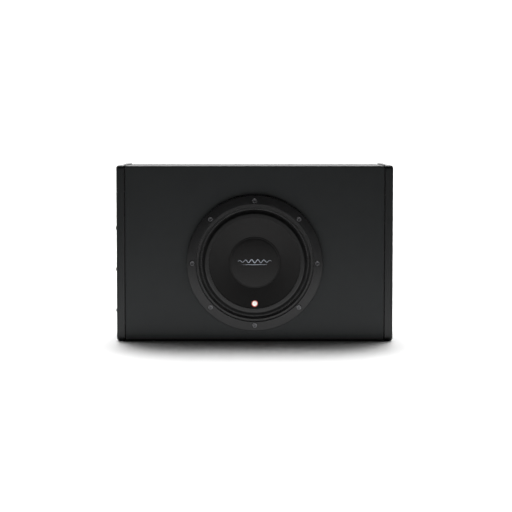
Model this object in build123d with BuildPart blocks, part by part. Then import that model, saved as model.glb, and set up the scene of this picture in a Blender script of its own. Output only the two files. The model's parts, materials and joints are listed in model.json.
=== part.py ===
from build123d import *
import math
import os

# Powered car subwoofer: a sealed board enclosure between two moulded end caps, one 10-inch-class
# driver in the front baffle and a finned amplifier plate in the left end.
# Millimetres. X right, -Y front, +Z up. The sizes below are worked out about the middle of the box;
# finished pieces move back so that the origin is under the middle of the whole object, with its
# trim ring and screw heads.

# Overall size
box_width = 528.0
box_height = 337.0
box_depth = 216.0

# End caps and the recessed gaskets behind them
cap_thickness = 15.5
cap_proud = 1.5  # the caps stand this far out of the boards all round
cap_edge_round = 6.0
cap_corner_round = 8.0
cap_wall = 3.0
cap_rib = 2.0
cap_rib_recess = 1.0
cap_gasket_thickness = 2.0
cap_gasket_inset = 4.0
cap_gasket_band = 12.0
cap_boss_radius = 5.0
cap_boss_in = 30.0  # from the front or back of the box
right_cap_rib_count = 5
cap_boss_up = 25.0  # from the bottom or top of the box

# Boards
baffle_thickness = 18.0
board_thickness = 16.0
board_edge_round = 3.0
wadding_thickness = 22.0

# Driver, seen along its axis (radii)
ring_outer = 129.5
ring_width = 17.7
ring_floor_gap = 21.0
ring_depth = 10.0
ring_skirt = 2.0
ring_fall = 2.4  # the outer rim lies this far behind the inner edge
ring_bow = 0.25
screw_count = 8
screw_from_rim = 10.5
screw_shank_radius = 2.4
screw_head_radius = 4.8
screw_head_height = 2.6
screw_head_sink = 2.6
screw_length = 21.4
screw_edge = 0.8
screw_socket_depth = 1.7
screw_socket = 2.3
screw_clearance = 0.4
flange_thickness = 1.5
flange_step = 2.5  # flange edge inside the trim ring's rim
basket_gasket_thickness = 2.0
cutout_step = 17.5  # cutout edge inside the trim ring's rim
basket_wall = 2.0
basket_fit = 1.5  # basket wall inside the cutout
basket_straight = 9.0
basket_window_count = 6
basket_spoke = 22.0
roll_dip = 6.0  # the surround is an inward roll
rubber = 1.2
cone_thickness = 1.2
cone_lip = 5.0
cone_travel = 8.0
dust_cap_radius = 49.0
dust_cap_rise = 6.0
dust_cap_wall = 0.8
former_radius = 25.5  # outside of the coil former
former_wall = 0.5
coil_thickness = 1.5
coil_height = 28.0
coil_gap = 0.6
neck_height = 4.5
spider_outer = 72.0
spider_foot = 6.0
spider_thickness = 0.6
spider_rolls = 4
spider_wave = 1.4
spider_neck = 3.0
magnet_radius = 65.0
magnet_bore = 30.0
coil_clearance = 5.0  # coil to back plate at full travel
plate_radius = 60.0
plate_thickness = 10.0
pole_vent = 8.0

# Depths of the driver behind the front of the baffle
spider_depth = 46.6
top_plate_depth = 72.0
cone_neck_depth = 16.0

# Amplifier plate in the left end
amp_height = 185.0
amp_bottom = 45.0
amp_margin = 10.0  # plate edge to the front and back of the box
amp_corner_round = 6.0
amp_edge = 0.6
amp_flange = 4.0
amp_gasket = 1.0
amp_ledge = 3.0
amp_inset_side = 17.0
amp_inset_end = 8.0
amp_body_gap = 1.0
amp_fit = 0.3
amp_screw_in = 6.0
amp_screw_up = 13.5
amp_screw_radius = 2.0
amp_screw_head = 4.0
amp_screw_head_height = 2.4
amp_screw_slot = 1.0
fin_pitch = 9.0
fin_slot = 6.0
fin_depth = 10.5
bay_width = 56.0
bay_depth = 22.0
bay_corner_round = 4.0
bay_wall = 2.5
bay_margin = 5.0
bay_margin_end = 7.0
panel_thickness = 1.5
panel_gap = 0.2
housing_depth = 84.0
housing_wall = 1.5
opening_gap = 1.0
circuit_depth = 38.0  # outer face of the cap to the circuit board
circuit_thickness = 1.6
circuit_margin = 4.0

# Controls and sockets on the panel, as heights above the bottom of the bay
column_spacing = 26.0
light_up = 142.0
knob_up = (126.0, 106.0, 86.0)
rca_up = (124.0, 104.0)
phase_up = 65.0
remote_up = 83.0
high_level_up = 63.0
fuse_up = 42.0
terminal_up = 24.0
knob_radius = 6.0
knob_start = 2.2
knob_length = 10.8
knob_cover = 1.6
knob_flute = 0.6
knob_edge = 0.25
knob_groove = 0.6
knob_flute_count = 18
shaft_radius = 2.5
shaft_fit = 0.05
shaft_flat = 1.7
bushing_radius = 3.5
phase_travel = 4.0
rca_radius = 4.15
rca_length = 9.0
rca_core = 3.45
rca_bore = 1.7
terminal_height = 16.0
terminal_reach = 12.0
terminal_pitch = 14.5
terminal_split = 0.4  # between the three terminal modules
terminal_count = 3
terminal_bore = 2.8
terminal_bore_depth = 13.0
clamp_screw_radius = 2.2
fuse_width = 19.1
fuse_body = 5.1
fuse_pitch = 23.0
fuse_gap = 0.3
fuse_blade = 5.2
fuse_blade_thickness = 0.7
wire_radius = 1.3
tinsel_radius = 0.6
arc_share = 0.45  # of a run, taken by the arc at each end

# Faces worked out from the sizes above
magnet_height = (coil_height - plate_thickness) / 2 + cone_travel + coil_clearance
terminal_width = terminal_count * terminal_pitch - terminal_split
end_face = box_width / 2
cap_inner = end_face - cap_thickness
board_end = cap_inner - cap_gasket_thickness
board_low = cap_proud
board_high = box_height - cap_proud
front = -box_depth / 2 + cap_proud
back = box_depth / 2 - cap_proud
inside_front = front + baffle_thickness
inside_back = back - board_thickness
inside_low = board_low + board_thickness
inside_high = board_high - board_thickness
inside_end = board_end - board_thickness
screw_stand = ring_depth - screw_head_sink + screw_head_height  # heads in front of the baffle
origin_shift = (screw_stand - cap_proud) / 2

os.makedirs("parts", exist_ok=True)


def finish(piece, name):
    piece.part.move(Location((0, origin_shift, 0)))
    piece.part.label = name
    export_step(piece.part, "parts/" + name + ".step")


def block(x0, x1, y0, y1, z0, z1, mode=Mode.ADD):
    with Locations(((x0 + x1) / 2, (y0 + y1) / 2, (z0 + z1) / 2)):
        Box(x1 - x0, y1 - y0, z1 - z0, mode=mode)


def rod(x0, x1, y, z, radius, mode=Mode.ADD):
    # A cylinder along X.
    with Locations(Location(((x0 + x1) / 2, y, z), (0, 90, 0))):
        Cylinder(radius, x1 - x0, mode=mode)


# ---- Enclosure boards ----

driver_z = ring_outer + ring_floor_gap
screw_circle = ring_outer - screw_from_rim
cutout_radius = ring_outer - cutout_step


def on_driver(depth):
    # Plane across the driver's axis, looking out of the front.
    return Plane(origin=(0, front + depth, driver_z), x_dir=(1, 0, 0), z_dir=(0, -1, 0))


with BuildPart() as front_baffle:
    block(-board_end, board_end, front, inside_front, board_low, board_high)
    fillet(
        front_baffle.faces().sort_by(Axis.Y)[0].edges().filter_by(Axis.X),
        board_edge_round,
    )
    with BuildSketch(on_driver(0)):
        Circle(cutout_radius)
        with PolarLocations(screw_circle, screw_count):
            Circle(screw_shank_radius + shaft_fit)
    extrude(amount=-baffle_thickness, mode=Mode.SUBTRACT)
finish(front_baffle, "front_baffle")

with BuildPart() as rear_panel:
    block(-board_end, board_end, inside_back, back, board_low, board_high)
    fillet(
        rear_panel.faces().sort_by(Axis.Y)[-1].edges().filter_by(Axis.X),
        board_edge_round,
    )
finish(rear_panel, "rear_panel")

with BuildPart() as top_panel:
    block(-board_end, board_end, inside_front, inside_back, inside_high, board_high)
finish(top_panel, "top_panel")

with BuildPart() as bottom_panel:
    block(-board_end, board_end, inside_front, inside_back, board_low, inside_low)
finish(bottom_panel, "bottom_panel")

# Amplifier plate: places along the box and up it
amp_low = amp_bottom
amp_high = amp_bottom + amp_height
amp_side = box_depth / 2 - amp_margin
body_side = amp_side - amp_inset_side - amp_body_gap
body_low = amp_low + amp_inset_end + amp_body_gap
body_high = amp_high - amp_inset_end - amp_body_gap
boss_spots = [
    (y, z)
    for y in (-box_depth / 2 + cap_boss_in, box_depth / 2 - cap_boss_in)
    for z in (cap_boss_up, box_height - cap_boss_up)
]
amp_screw_spots = [
    (y, z)
    for y in (-amp_side + amp_screw_in, amp_side - amp_screw_in)
    for z in (amp_low + amp_screw_up, (amp_low + amp_high) / 2, amp_high - amp_screw_up)
]

with BuildPart() as left_side_panel:
    block(-board_end, -inside_end, inside_front, inside_back, inside_low, inside_high)
    block(
        -board_end,
        -inside_end,
        -body_side - 2 * opening_gap,
        body_side + 2 * opening_gap,
        body_low - 2 * opening_gap,
        body_high + 2 * opening_gap,
        mode=Mode.SUBTRACT,
    )
    for y, z in boss_spots:
        rod(-board_end, -inside_end, y, z, amp_screw_radius + shaft_fit, mode=Mode.SUBTRACT)
finish(left_side_panel, "left_side_panel")

with BuildPart() as right_side_panel:
    block(inside_end, board_end, inside_front, inside_back, inside_low, inside_high)
    for y, z in boss_spots:
        rod(inside_end, board_end, y, z, amp_screw_radius + shaft_fit, mode=Mode.SUBTRACT)
finish(right_side_panel, "right_side_panel")

# Wadding against the rear board, clear of the amplifier housing
wadding_gap = 6.0
wadding_left = -end_face + housing_depth + wadding_gap + opening_gap
with BuildPart() as acoustic_wadding:
    block(
        wadding_left,
        inside_end - wadding_gap,
        inside_back - wadding_thickness,
        inside_back,
        inside_low + wadding_gap,
        inside_high - wadding_gap,
    )
    fillet(acoustic_wadding.faces().sort_by(Axis.Y)[0].edges(), wadding_thickness / 3)
finish(acoustic_wadding, "acoustic_wadding")

# ---- End caps ----


def cap_block(side, inset):
    # The cap's outline drawn in by the inset, its outer rim rounded; side is 1 right, -1 left.
    with BuildPart() as body:
        with BuildSketch(Plane.YZ.offset(side * cap_inner)):
            with Locations((0, box_height / 2)):
                RectangleRounded(
                    box_depth - 2 * inset, box_height - 2 * inset, cap_corner_round - inset
                )
        extrude(amount=side * (cap_thickness - inset))
        rim = body.faces().sort_by(Axis.X)[-1 if side > 0 else 0]
        fillet(rim.edges(), cap_edge_round - inset)
    return body.part


def cap_ribs(side, low, high, count_up):
    # Stiffening ribs inside the cap, between two heights.
    skin = side * (end_face - cap_wall)
    edge = side * (cap_inner + cap_rib_recess)
    x0 = min(skin, edge)
    x1 = max(skin, edge)
    reach = box_depth / 2 - cap_wall
    for k in range(count_up):
        z = low + (high - low) * (k + 1) / (count_up + 1)
        block(x0, x1, -reach, reach, z - cap_rib / 2, z + cap_rib / 2)
    for y in (-reach / 2, 0, reach / 2):
        block(x0, x1, y - cap_rib / 2, y + cap_rib / 2, low, high)


def cap_bosses(side):
    # Screw bosses that reach the side board.
    skin = side * (end_face - cap_wall)
    foot = side * board_end
    x0 = min(skin, foot)
    x1 = max(skin, foot)
    for y, z in boss_spots:
        rod(x0, x1, y, z, cap_boss_radius)
    for y, z in boss_spots:
        rod(x0, x1, y, z, amp_screw_radius + shaft_fit, mode=Mode.SUBTRACT)


with BuildPart() as right_end_cap:
    add(cap_block(1, 0))
    add(cap_block(1, cap_wall), mode=Mode.SUBTRACT)
    cap_ribs(1, cap_wall, box_height - cap_wall, right_cap_rib_count)
    cap_bosses(1)
finish(right_end_cap, "right_end_cap")

left_face = -end_face
left_inner = -cap_inner
seat = left_face + amp_flange + amp_gasket  # ledge that the amplifier plate's gasket lies on
frame_side = box_depth / 2 - cap_wall
frame_out = 7.0
amp_middle = (amp_low + amp_high) / 2

with BuildPart() as left_end_cap:
    add(cap_block(-1, 0))
    add(cap_block(-1, cap_wall), mode=Mode.SUBTRACT)
    cap_ribs(-1, amp_high + frame_out, box_height - cap_wall, 1)
    cap_bosses(-1)
    # Frame around the amplifier opening
    block(
        left_face + cap_wall,
        left_inner,
        -frame_side,
        frame_side,
        amp_low - frame_out,
        amp_high + frame_out,
    )
    block(
        seat + amp_ledge,
        left_inner,
        -amp_side,
        amp_side,
        amp_low,
        amp_high,
        mode=Mode.SUBTRACT,
    )
    for y, z in amp_screw_spots:
        rod(seat + amp_ledge, left_inner, y, z, cap_boss_radius)
    block(
        seat + amp_ledge,
        left_inner,
        -body_side - amp_body_gap - cap_wall,
        body_side + amp_body_gap + cap_wall,
        body_low - amp_body_gap - cap_wall,
        body_high + amp_body_gap + cap_wall,
    )
    with BuildSketch(Plane.YZ.offset(left_face)):
        with Locations((0, amp_middle)):
            RectangleRounded(
                2 * (amp_side + amp_fit), amp_height + 2 * amp_fit, amp_corner_round + amp_fit
            )
    extrude(amount=amp_flange + amp_gasket, mode=Mode.SUBTRACT)
    block(
        left_face,
        left_inner,
        -body_side - amp_body_gap,
        body_side + amp_body_gap,
        body_low - amp_body_gap,
        body_high + amp_body_gap,
        mode=Mode.SUBTRACT,
    )
    for y, z in amp_screw_spots:
        rod(left_face, left_inner, y, z, amp_screw_radius + shaft_fit, mode=Mode.SUBTRACT)
finish(left_end_cap, "left_end_cap")


def cap_gasket(x0):
    # Flat foam ring, set in from the edges of the boards.
    with BuildPart() as ring:
        with BuildSketch(Plane.YZ.offset(x0)):
            with Locations((0, box_height / 2)):
                depth = back - front - 2 * cap_gasket_inset
                height = board_high - board_low - 2 * cap_gasket_inset
                RectangleRounded(depth, height, cap_corner_round)
                Rectangle(
                    depth - 2 * cap_gasket_band,
                    height - 2 * cap_gasket_band,
                    mode=Mode.SUBTRACT,
                )
        extrude(amount=cap_gasket_thickness)
    return ring.part


with BuildPart() as left_cap_gasket:
    add(cap_gasket(-cap_inner))
finish(left_cap_gasket, "left_cap_gasket")

with BuildPart() as right_cap_gasket:
    add(cap_gasket(board_end))
finish(right_cap_gasket, "right_cap_gasket")


def cap_screw(side, y, z):
    # Pan head inside the box, shank through the side board into the cap's boss.
    head = side * (inside_end - amp_screw_head_height)
    seat_x = side * inside_end
    tip = side * (end_face - 2 * cap_wall)
    rod(min(head, seat_x), max(head, seat_x), y, z, amp_screw_head)
    rod(min(seat_x, tip), max(seat_x, tip), y, z, amp_screw_radius)


with BuildPart() as end_cap_screws:
    for end in (-1, 1):
        for y, z in boss_spots:
            cap_screw(end, y, z)
finish(end_cap_screws, "end_cap_screws")

# ---- Amplifier plate ----

body_back = left_inner  # back face of the plate's body
bay_back = body_side - bay_margin
bay_front = bay_back - bay_width
bay_low = body_low + bay_margin_end
bay_high = body_high - bay_margin_end
bay_floor = left_face + bay_depth
bay_middle = (bay_back + bay_front) / 2
fin_field = bay_front - bay_wall - 2 * (fin_pitch - fin_slot) + body_side
fin_slot_count = int((fin_field + fin_pitch - fin_slot) / fin_pitch)
fin_run = (fin_slot_count - 1) * fin_pitch + fin_slot
fin_start = -body_side + (fin_pitch - fin_slot) + (fin_field - fin_run) / 2

with BuildPart() as amp_plate:
    with BuildSketch(Plane.YZ.offset(left_face)):
        with Locations((0, amp_middle)):
            RectangleRounded(2 * amp_side, amp_height, amp_corner_round)
    extrude(amount=amp_flange)
    rim = amp_plate.faces().sort_by(Axis.X)[0].edges()
    chamfer(rim, amp_edge)
    block(left_face + amp_flange, body_back, -body_side, body_side, body_low, body_high)
    block(
        body_back,
        bay_floor,
        bay_front - bay_wall,
        bay_back + bay_wall,
        bay_low - bay_wall,
        bay_high + bay_wall,
    )
    with BuildSketch(Plane.YZ.offset(left_face)):
        with Locations((bay_middle, (bay_low + bay_high) / 2)):
            RectangleRounded(bay_width, bay_high - bay_low, bay_corner_round)
    extrude(amount=bay_depth, mode=Mode.SUBTRACT)
    with BuildSketch(Plane.YZ.offset(left_face)):
        for k in range(fin_slot_count):
            with Locations((fin_start + k * fin_pitch + fin_slot / 2, amp_middle)):
                SlotOverall(body_high - body_low, fin_slot, rotation=90)
    extrude(amount=fin_depth, mode=Mode.SUBTRACT)
    for y, z in amp_screw_spots:
        rod(
            left_face,
            left_face + amp_flange,
            y,
            z,
            amp_screw_radius + 2 * shaft_fit,
            mode=Mode.SUBTRACT,
        )
finish(amp_plate, "amp_plate")

with BuildPart() as amp_plate_gasket:
    with BuildSketch(Plane.YZ.offset(left_face + amp_flange)):
        with Locations((0, amp_middle)):
            RectangleRounded(2 * amp_side, amp_height, amp_corner_round)
            Rectangle(
                2 * (body_side + amp_body_gap),
                body_high - body_low + 2 * amp_body_gap,
                mode=Mode.SUBTRACT,
            )
        with Locations(amp_screw_spots):
            Circle(amp_screw_radius + 2 * shaft_fit, mode=Mode.SUBTRACT)
    extrude(amount=amp_gasket)
finish(amp_plate_gasket, "amp_plate_gasket")


def pan_head(x, y, z, radius, height, recess):
    # Low domed head on the face at x, rising towards -X, with a cross recess.
    edge = height * 0.45  # straight part of the head
    slot_end = x - height * 0.4
    half = amp_screw_slot / 2
    dome = (radius * radius + (height - edge) ** 2) / (2 * (height - edge))
    with BuildPart() as head:
        with BuildSketch(Plane.XZ.offset(-y)):
            with BuildLine():
                Polyline((x - height, z), (x, z), (x, z + radius), (x - edge, z + radius))
                RadiusArc((x - edge, z + radius), (x - height, z), dome)
            make_face()
        revolve(axis=Axis((x, y, z), (1, 0, 0)))
        block(x - height, slot_end, y - recess, y + recess, z - half, z + half, Mode.SUBTRACT)
        block(x - height, slot_end, y - half, y + half, z - recess, z + recess, Mode.SUBTRACT)
    return head.part


with BuildPart() as amp_plate_screws:
    for y, z in amp_screw_spots:
        add(pan_head(left_face, y, z, amp_screw_head, amp_screw_head_height, amp_screw_head / 2))
        rod(left_face, left_inner - 1.0, y, z, amp_screw_radius)
finish(amp_plate_screws, "amp_plate_screws")

# ---- Control panel: what stands through it ----

knob_y = bay_middle - column_spacing / 2
jack_y = bay_middle + column_spacing / 2
circuit_face = left_face + circuit_depth
panel_back = bay_floor + panel_thickness
knob_spots = [(knob_y, bay_low + up) for up in knob_up]
rca_spots = [(jack_y, bay_low + up) for up in rca_up]
light_spots = [(knob_y, bay_low + light_up), (jack_y, bay_low + light_up)]
light_radius = 1.5
phase_z = bay_low + phase_up
remote_z = bay_low + remote_up
high_level_z = bay_low + high_level_up
fuse_z = bay_low + fuse_up
terminal_z = bay_low + terminal_up
remote_width = 13.0
remote_height = 12.0
high_level_width = 20.0
high_level_height = 12.0
fuse_holder_width = 2 * fuse_pitch + 1.0
fuse_holder_height = 13.0
phase_slot_width = 3.6
slider_height = 4.0
slider_reach = 4.5
phase_slot_height = slider_height + phase_travel + 2 * fuse_gap

with BuildPart() as control_panel:
    block(
        bay_floor,
        panel_back,
        bay_front - bay_wall,
        bay_back + bay_wall,
        bay_low - bay_wall,
        bay_high + bay_wall,
    )
    with BuildSketch(Plane.YZ.offset(bay_floor)):
        with Locations(knob_spots):
            Circle(bushing_radius + panel_gap)
        with Locations(rca_spots):
            Circle(rca_radius + panel_gap)
        with Locations(light_spots):
            Circle(light_radius + panel_gap)
        with Locations((knob_y, phase_z)):
            Rectangle(phase_slot_width, phase_slot_height)
        with Locations((jack_y, remote_z)):
            Rectangle(remote_width + 2 * panel_gap, remote_height + 2 * panel_gap)
        with Locations((jack_y, high_level_z)):
            Rectangle(high_level_width + 2 * panel_gap, high_level_height + 2 * panel_gap)
        with Locations((bay_middle, fuse_z)):
            Rectangle(fuse_holder_width + 2 * panel_gap, fuse_holder_height + 2 * panel_gap)
        with Locations((bay_middle, terminal_z)):
            Rectangle(terminal_width + 2 * panel_gap, terminal_height + 2 * panel_gap)
    extrude(amount=panel_thickness, mode=Mode.SUBTRACT)
finish(control_panel, "control_panel")

pot_size = 12.0
pot_front = panel_back + 2.0
bushing_reach = 1.5
shaft_reach = 6.0
with BuildPart() as potentiometers:
    for y, z in knob_spots:
        half = pot_size / 2
        block(pot_front, circuit_face, y - half, y + half, z - half, z + half)
        rod(bay_floor - bushing_reach, pot_front, y, z, bushing_radius)
    for y, z in knob_spots:
        rod(
            bay_floor - bushing_reach,
            pot_front + shaft_reach,
            y,
            z,
            shaft_radius + shaft_fit,
            mode=Mode.SUBTRACT,
        )
finish(potentiometers, "potentiometers")

knob_back = bay_floor - knob_start
knob_face = knob_back - knob_length


def knob_shaft(name, y, z):
    # Shaft with a flat at its outer end, which turns in the bushing.
    outer_end = knob_face + knob_cover
    with BuildPart() as shaft:
        rod(outer_end, pot_front + shaft_reach - 0.5, y, z, shaft_radius)
        block(
            outer_end,
            knob_back,
            y - shaft_radius,
            y + shaft_radius,
            z + shaft_flat,
            z + shaft_radius,
            mode=Mode.SUBTRACT,
        )
    finish(shaft, name)


def knob(name, y, z):
    # Fluted knob with a pointer groove, on the shaft's flat.
    with BuildPart() as body:
        with BuildSketch(Plane.YZ.offset(knob_face)):
            with Locations((y, z)):
                Circle(knob_radius)
            with Locations((y, z)):
                with PolarLocations(knob_radius + knob_flute / 2, knob_flute_count):
                    Circle(knob_flute, mode=Mode.SUBTRACT)
        extrude(amount=knob_length)
        chamfer(body.faces().sort_by(Axis.X)[0].edges(), knob_edge)
        with BuildSketch(Plane.YZ.offset(knob_face + knob_cover)):
            with Locations((y, z)):
                Circle(shaft_radius)
            with Locations((y, z + (shaft_flat + shaft_radius) / 2 + 0.5)):
                Rectangle(2 * shaft_radius, shaft_radius - shaft_flat + 1.0, mode=Mode.SUBTRACT)
        extrude(amount=knob_length, mode=Mode.SUBTRACT)
        with BuildSketch(Plane.YZ.offset(knob_face)):
            with Locations((y, z + knob_radius - knob_radius / 2 + knob_groove)):
                Rectangle(1.0, knob_radius)
        extrude(amount=knob_groove, mode=Mode.SUBTRACT)
    finish(body, name)


for knob_name, spot in zip(("gain", "crossover", "bass"), knob_spots):
    knob_shaft(knob_name + "_shaft", *spot)
    knob(knob_name + "_knob", *spot)

phase_half_width = 4.0
phase_half_height = 8.0
phase_pocket = 3.0
with BuildPart() as phase_switch_body:
    block(
        panel_back,
        circuit_face,
        knob_y - phase_half_width,
        knob_y + phase_half_width,
        phase_z - phase_half_height,
        phase_z + phase_half_height,
    )
    block(
        panel_back,
        panel_back + phase_pocket,
        knob_y - phase_slot_width / 2,
        knob_y + phase_slot_width / 2,
        phase_z - phase_slot_height / 2,
        phase_z + phase_slot_height / 2,
        mode=Mode.SUBTRACT,
    )
finish(phase_switch_body, "phase_switch_body")

slider_half = phase_slot_width / 2 - fuse_gap
slider_low = phase_z - phase_slot_height / 2 + fuse_gap
slider_high = slider_low + slider_height
with BuildPart() as phase_switch_slider:
    block(
        bay_floor - slider_reach,
        panel_back + phase_pocket - fuse_gap,
        knob_y - slider_half,
        knob_y + slider_half,
        slider_low,
        slider_high,
    )
    fillet(phase_switch_slider.faces().sort_by(Axis.X)[0].edges(), 0.5)
finish(phase_switch_slider, "phase_switch_slider")

rca_collar = 1.6
rca_recess = 0.6
with BuildPart() as rca_jack_shells:
    for y, z in rca_spots:
        rod(bay_floor - rca_length, panel_back, y, z, rca_radius)
        rod(bay_floor - 1.0, bay_floor, y, z, rca_radius + rca_collar)
    for y, z in rca_spots:
        rod(bay_floor - rca_length, panel_back, y, z, rca_core, mode=Mode.SUBTRACT)
finish(rca_jack_shells, "rca_jack_shells")

rca_back = 5.5
rca_hole_end = bay_floor + 6.0
with BuildPart() as rca_jack_insulators:
    for y, z in rca_spots:
        rod(bay_floor - rca_length + rca_recess, panel_back, y, z, rca_core)
        block(panel_back, circuit_face, y - rca_back, y + rca_back, z - rca_back, z + rca_back)
    for y, z in rca_spots:
        rod(bay_floor - rca_length, rca_hole_end, y, z, rca_bore, mode=Mode.SUBTRACT)
finish(rca_jack_insulators, "rca_jack_insulators")


def socket(x, y, z, width, height, wall, depth):
    # Rectangular socket standing on the circuit board, open towards -X.
    block(x, circuit_face, y - width / 2, y + width / 2, z - height / 2, z + height / 2)
    block(
        x,
        x + depth,
        y - width / 2 + wall,
        y + width / 2 - wall,
        z - height / 2 + wall,
        z + height / 2 - wall,
        mode=Mode.SUBTRACT,
    )


socket_depth = 12.0
remote_front = bay_floor - 1.5
remote_wall = 2.0
remote_latch = 1.2
high_level_front = bay_floor - 4.0
high_level_wall = 1.5
high_level_pins = 4
high_level_pitch = 4.0
high_level_pin = 0.6
high_level_recess = 6.5  # mouth to the pins
with BuildPart() as remote_level_jack:
    socket(remote_front, jack_y, remote_z, remote_width, remote_height, remote_wall, socket_depth)
    block(
        remote_front,
        remote_front + socket_depth,
        jack_y - remote_wall,
        jack_y + remote_wall,
        remote_z + remote_height / 2 - remote_wall,
        remote_z + remote_height / 2 - remote_wall + remote_latch,
        mode=Mode.SUBTRACT,
    )
finish(remote_level_jack, "remote_level_jack")

with BuildPart() as high_level_socket:
    socket(
        high_level_front,
        jack_y,
        high_level_z,
        high_level_width,
        high_level_height,
        high_level_wall,
        socket_depth,
    )
    for k in range(high_level_pins):
        pin_y = jack_y + (k - (high_level_pins - 1) / 2) * high_level_pitch
        rod(
            high_level_front + high_level_recess,
            high_level_front + socket_depth,
            pin_y,
            high_level_z,
            high_level_pin,
        )
finish(high_level_socket, "high_level_socket")

# Power terminals: one module for each wire, with the wire's bore from below and a clamp screw
# from the left
terminal_face = bay_floor - terminal_reach
terminal_spots = [
    bay_middle + (k - (terminal_count - 1) / 2) * terminal_pitch for k in range(terminal_count)
]
terminal_low = terminal_z - terminal_height / 2
terminal_axis = (terminal_face + bay_floor) / 2 + 0.5
terminal_half = (terminal_pitch - terminal_split) / 2
clamp_screw_sink = 0.8
clamp_screw_slot = 0.8
with BuildPart() as power_terminal_block:
    for y in terminal_spots:
        block(
            terminal_face,
            circuit_face,
            y - terminal_half,
            y + terminal_half,
            terminal_low,
            terminal_low + terminal_height,
        )
    for y in terminal_spots:
        with Locations((terminal_axis, y, terminal_low + terminal_bore_depth / 2)):
            Cylinder(terminal_bore, terminal_bore_depth, mode=Mode.SUBTRACT)
        rod(
            terminal_face,
            terminal_axis,
            y,
            terminal_z,
            clamp_screw_radius + shaft_fit,
            mode=Mode.SUBTRACT,
        )
finish(power_terminal_block, "power_terminal_block")

with BuildPart() as terminal_clamp_screws:
    for y in terminal_spots:
        rod(
            terminal_face + clamp_screw_sink,
            terminal_axis - terminal_bore,
            y,
            terminal_z,
            clamp_screw_radius,
        )
        block(
            terminal_face + clamp_screw_sink,
            terminal_face + clamp_screw_sink + 1.0,
            y - clamp_screw_radius,
            y + clamp_screw_radius,
            terminal_z - clamp_screw_slot / 2,
            terminal_z + clamp_screw_slot / 2,
            mode=Mode.SUBTRACT,
        )
finish(terminal_clamp_screws, "terminal_clamp_screws")

# Two blade fuses side by side, which pull out to the left
holder_face = bay_floor - 4.0
fuse_seat = bay_floor + 4.0
fuse_blade_reach = 7.0
fuse_blade_in = 1.2  # blade edge inside the edge of the body
fuse_grip = 6.5
fuse_rim = 3.0
fuse_step = 0.6
fuse_spots = [bay_middle - fuse_pitch / 2, bay_middle + fuse_pitch / 2]
fuse_blade_out = fuse_width / 2 - fuse_blade_in - fuse_blade / 2
with BuildPart() as fuse_holder:
    block(
        holder_face,
        circuit_face,
        bay_middle - fuse_holder_width / 2,
        bay_middle + fuse_holder_width / 2,
        fuse_z - fuse_holder_height / 2,
        fuse_z + fuse_holder_height / 2,
    )
    for y in fuse_spots:
        block(
            holder_face,
            fuse_seat,
            y - fuse_width / 2 - fuse_gap,
            y + fuse_width / 2 + fuse_gap,
            fuse_z - fuse_body / 2 - fuse_gap,
            fuse_z + fuse_body / 2 + fuse_gap,
            mode=Mode.SUBTRACT,
        )
        for blade_y in (y - fuse_blade_out, y + fuse_blade_out):
            block(
                fuse_seat,
                fuse_seat + fuse_blade_reach + 1.0,
                blade_y - fuse_blade / 2 - fuse_gap,
                blade_y + fuse_blade / 2 + fuse_gap,
                fuse_z - fuse_blade_thickness / 2 - fuse_gap,
                fuse_z + fuse_blade_thickness / 2 + fuse_gap,
                mode=Mode.SUBTRACT,
            )
finish(fuse_holder, "fuse_holder")


def fuse(name, y):
    # Blade fuse: a stepped body with two blades.
    grip = holder_face - fuse_grip
    with BuildPart() as body:
        block(
            grip,
            fuse_seat - fuse_gap,
            y - fuse_width / 2,
            y + fuse_width / 2,
            fuse_z - fuse_body / 2 + fuse_step,
            fuse_z + fuse_body / 2 - fuse_step,
        )
        block(
            grip,
            grip + fuse_rim,
            y - fuse_width / 2,
            y + fuse_width / 2,
            fuse_z - fuse_body / 2,
            fuse_z + fuse_body / 2,
        )
        for blade_y in (y - fuse_blade_out, y + fuse_blade_out):
            block(
                fuse_seat - fuse_gap,
                fuse_seat + fuse_blade_reach,
                blade_y - fuse_blade / 2,
                blade_y + fuse_blade / 2,
                fuse_z - fuse_blade_thickness / 2,
                fuse_z + fuse_blade_thickness / 2,
            )
    finish(body, name)


fuse("fuse_1", fuse_spots[0])
fuse("fuse_2", fuse_spots[1])

light_proud = 0.6
with BuildPart() as indicator_lights:
    for y, z in light_spots:
        rod(bay_floor - light_proud, circuit_face, y, z, light_radius)
        with Locations((bay_floor - light_proud, y, z)):
            Sphere(light_radius)
finish(indicator_lights, "indicator_lights")

# ---- Amplifier circuit ----

circuit_back = circuit_face + circuit_thickness
circuit_side = body_side - circuit_margin
circuit_low = body_low + circuit_margin
circuit_high = body_high - circuit_margin
standoff_in = 6.0
standoff_radius = 3.2
standoff_bore = 1.5
standoff_spots = [
    (y, z)
    for y in (-circuit_side + standoff_in, bay_front - bay_wall - standoff_in - opening_gap)
    for z in (circuit_low + standoff_in, circuit_high - standoff_in)
]
with BuildPart() as circuit_board:
    block(circuit_face, circuit_back, -circuit_side, circuit_side, circuit_low, circuit_high)
    for y, z in standoff_spots:
        rod(circuit_face, circuit_back, y, z, standoff_bore + 0.1, mode=Mode.SUBTRACT)
finish(circuit_board, "circuit_board")

with BuildPart() as board_standoffs:
    with BuildSketch(Plane.YZ.offset(body_back)):
        with Locations(standoff_spots):
            RegularPolygon(standoff_radius, 6)
            Circle(standoff_bore, mode=Mode.SUBTRACT)
    extrude(amount=circuit_face - body_back)
finish(board_standoffs, "board_standoffs")

toroid_ring = 18.0
toroid_core = 8.0
toroid_up = 40.0
side_part_y = -circuit_side / 2 + 2.0  # toroid and wire outlet, beside the control bay
toroid_spot = (circuit_back + toroid_core, side_part_y, circuit_low + toroid_up)
with BuildPart() as toroid:
    with Locations(Location(toroid_spot, (0, 90, 0))):
        Torus(toroid_ring, toroid_core)
finish(toroid, "toroid")

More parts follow.
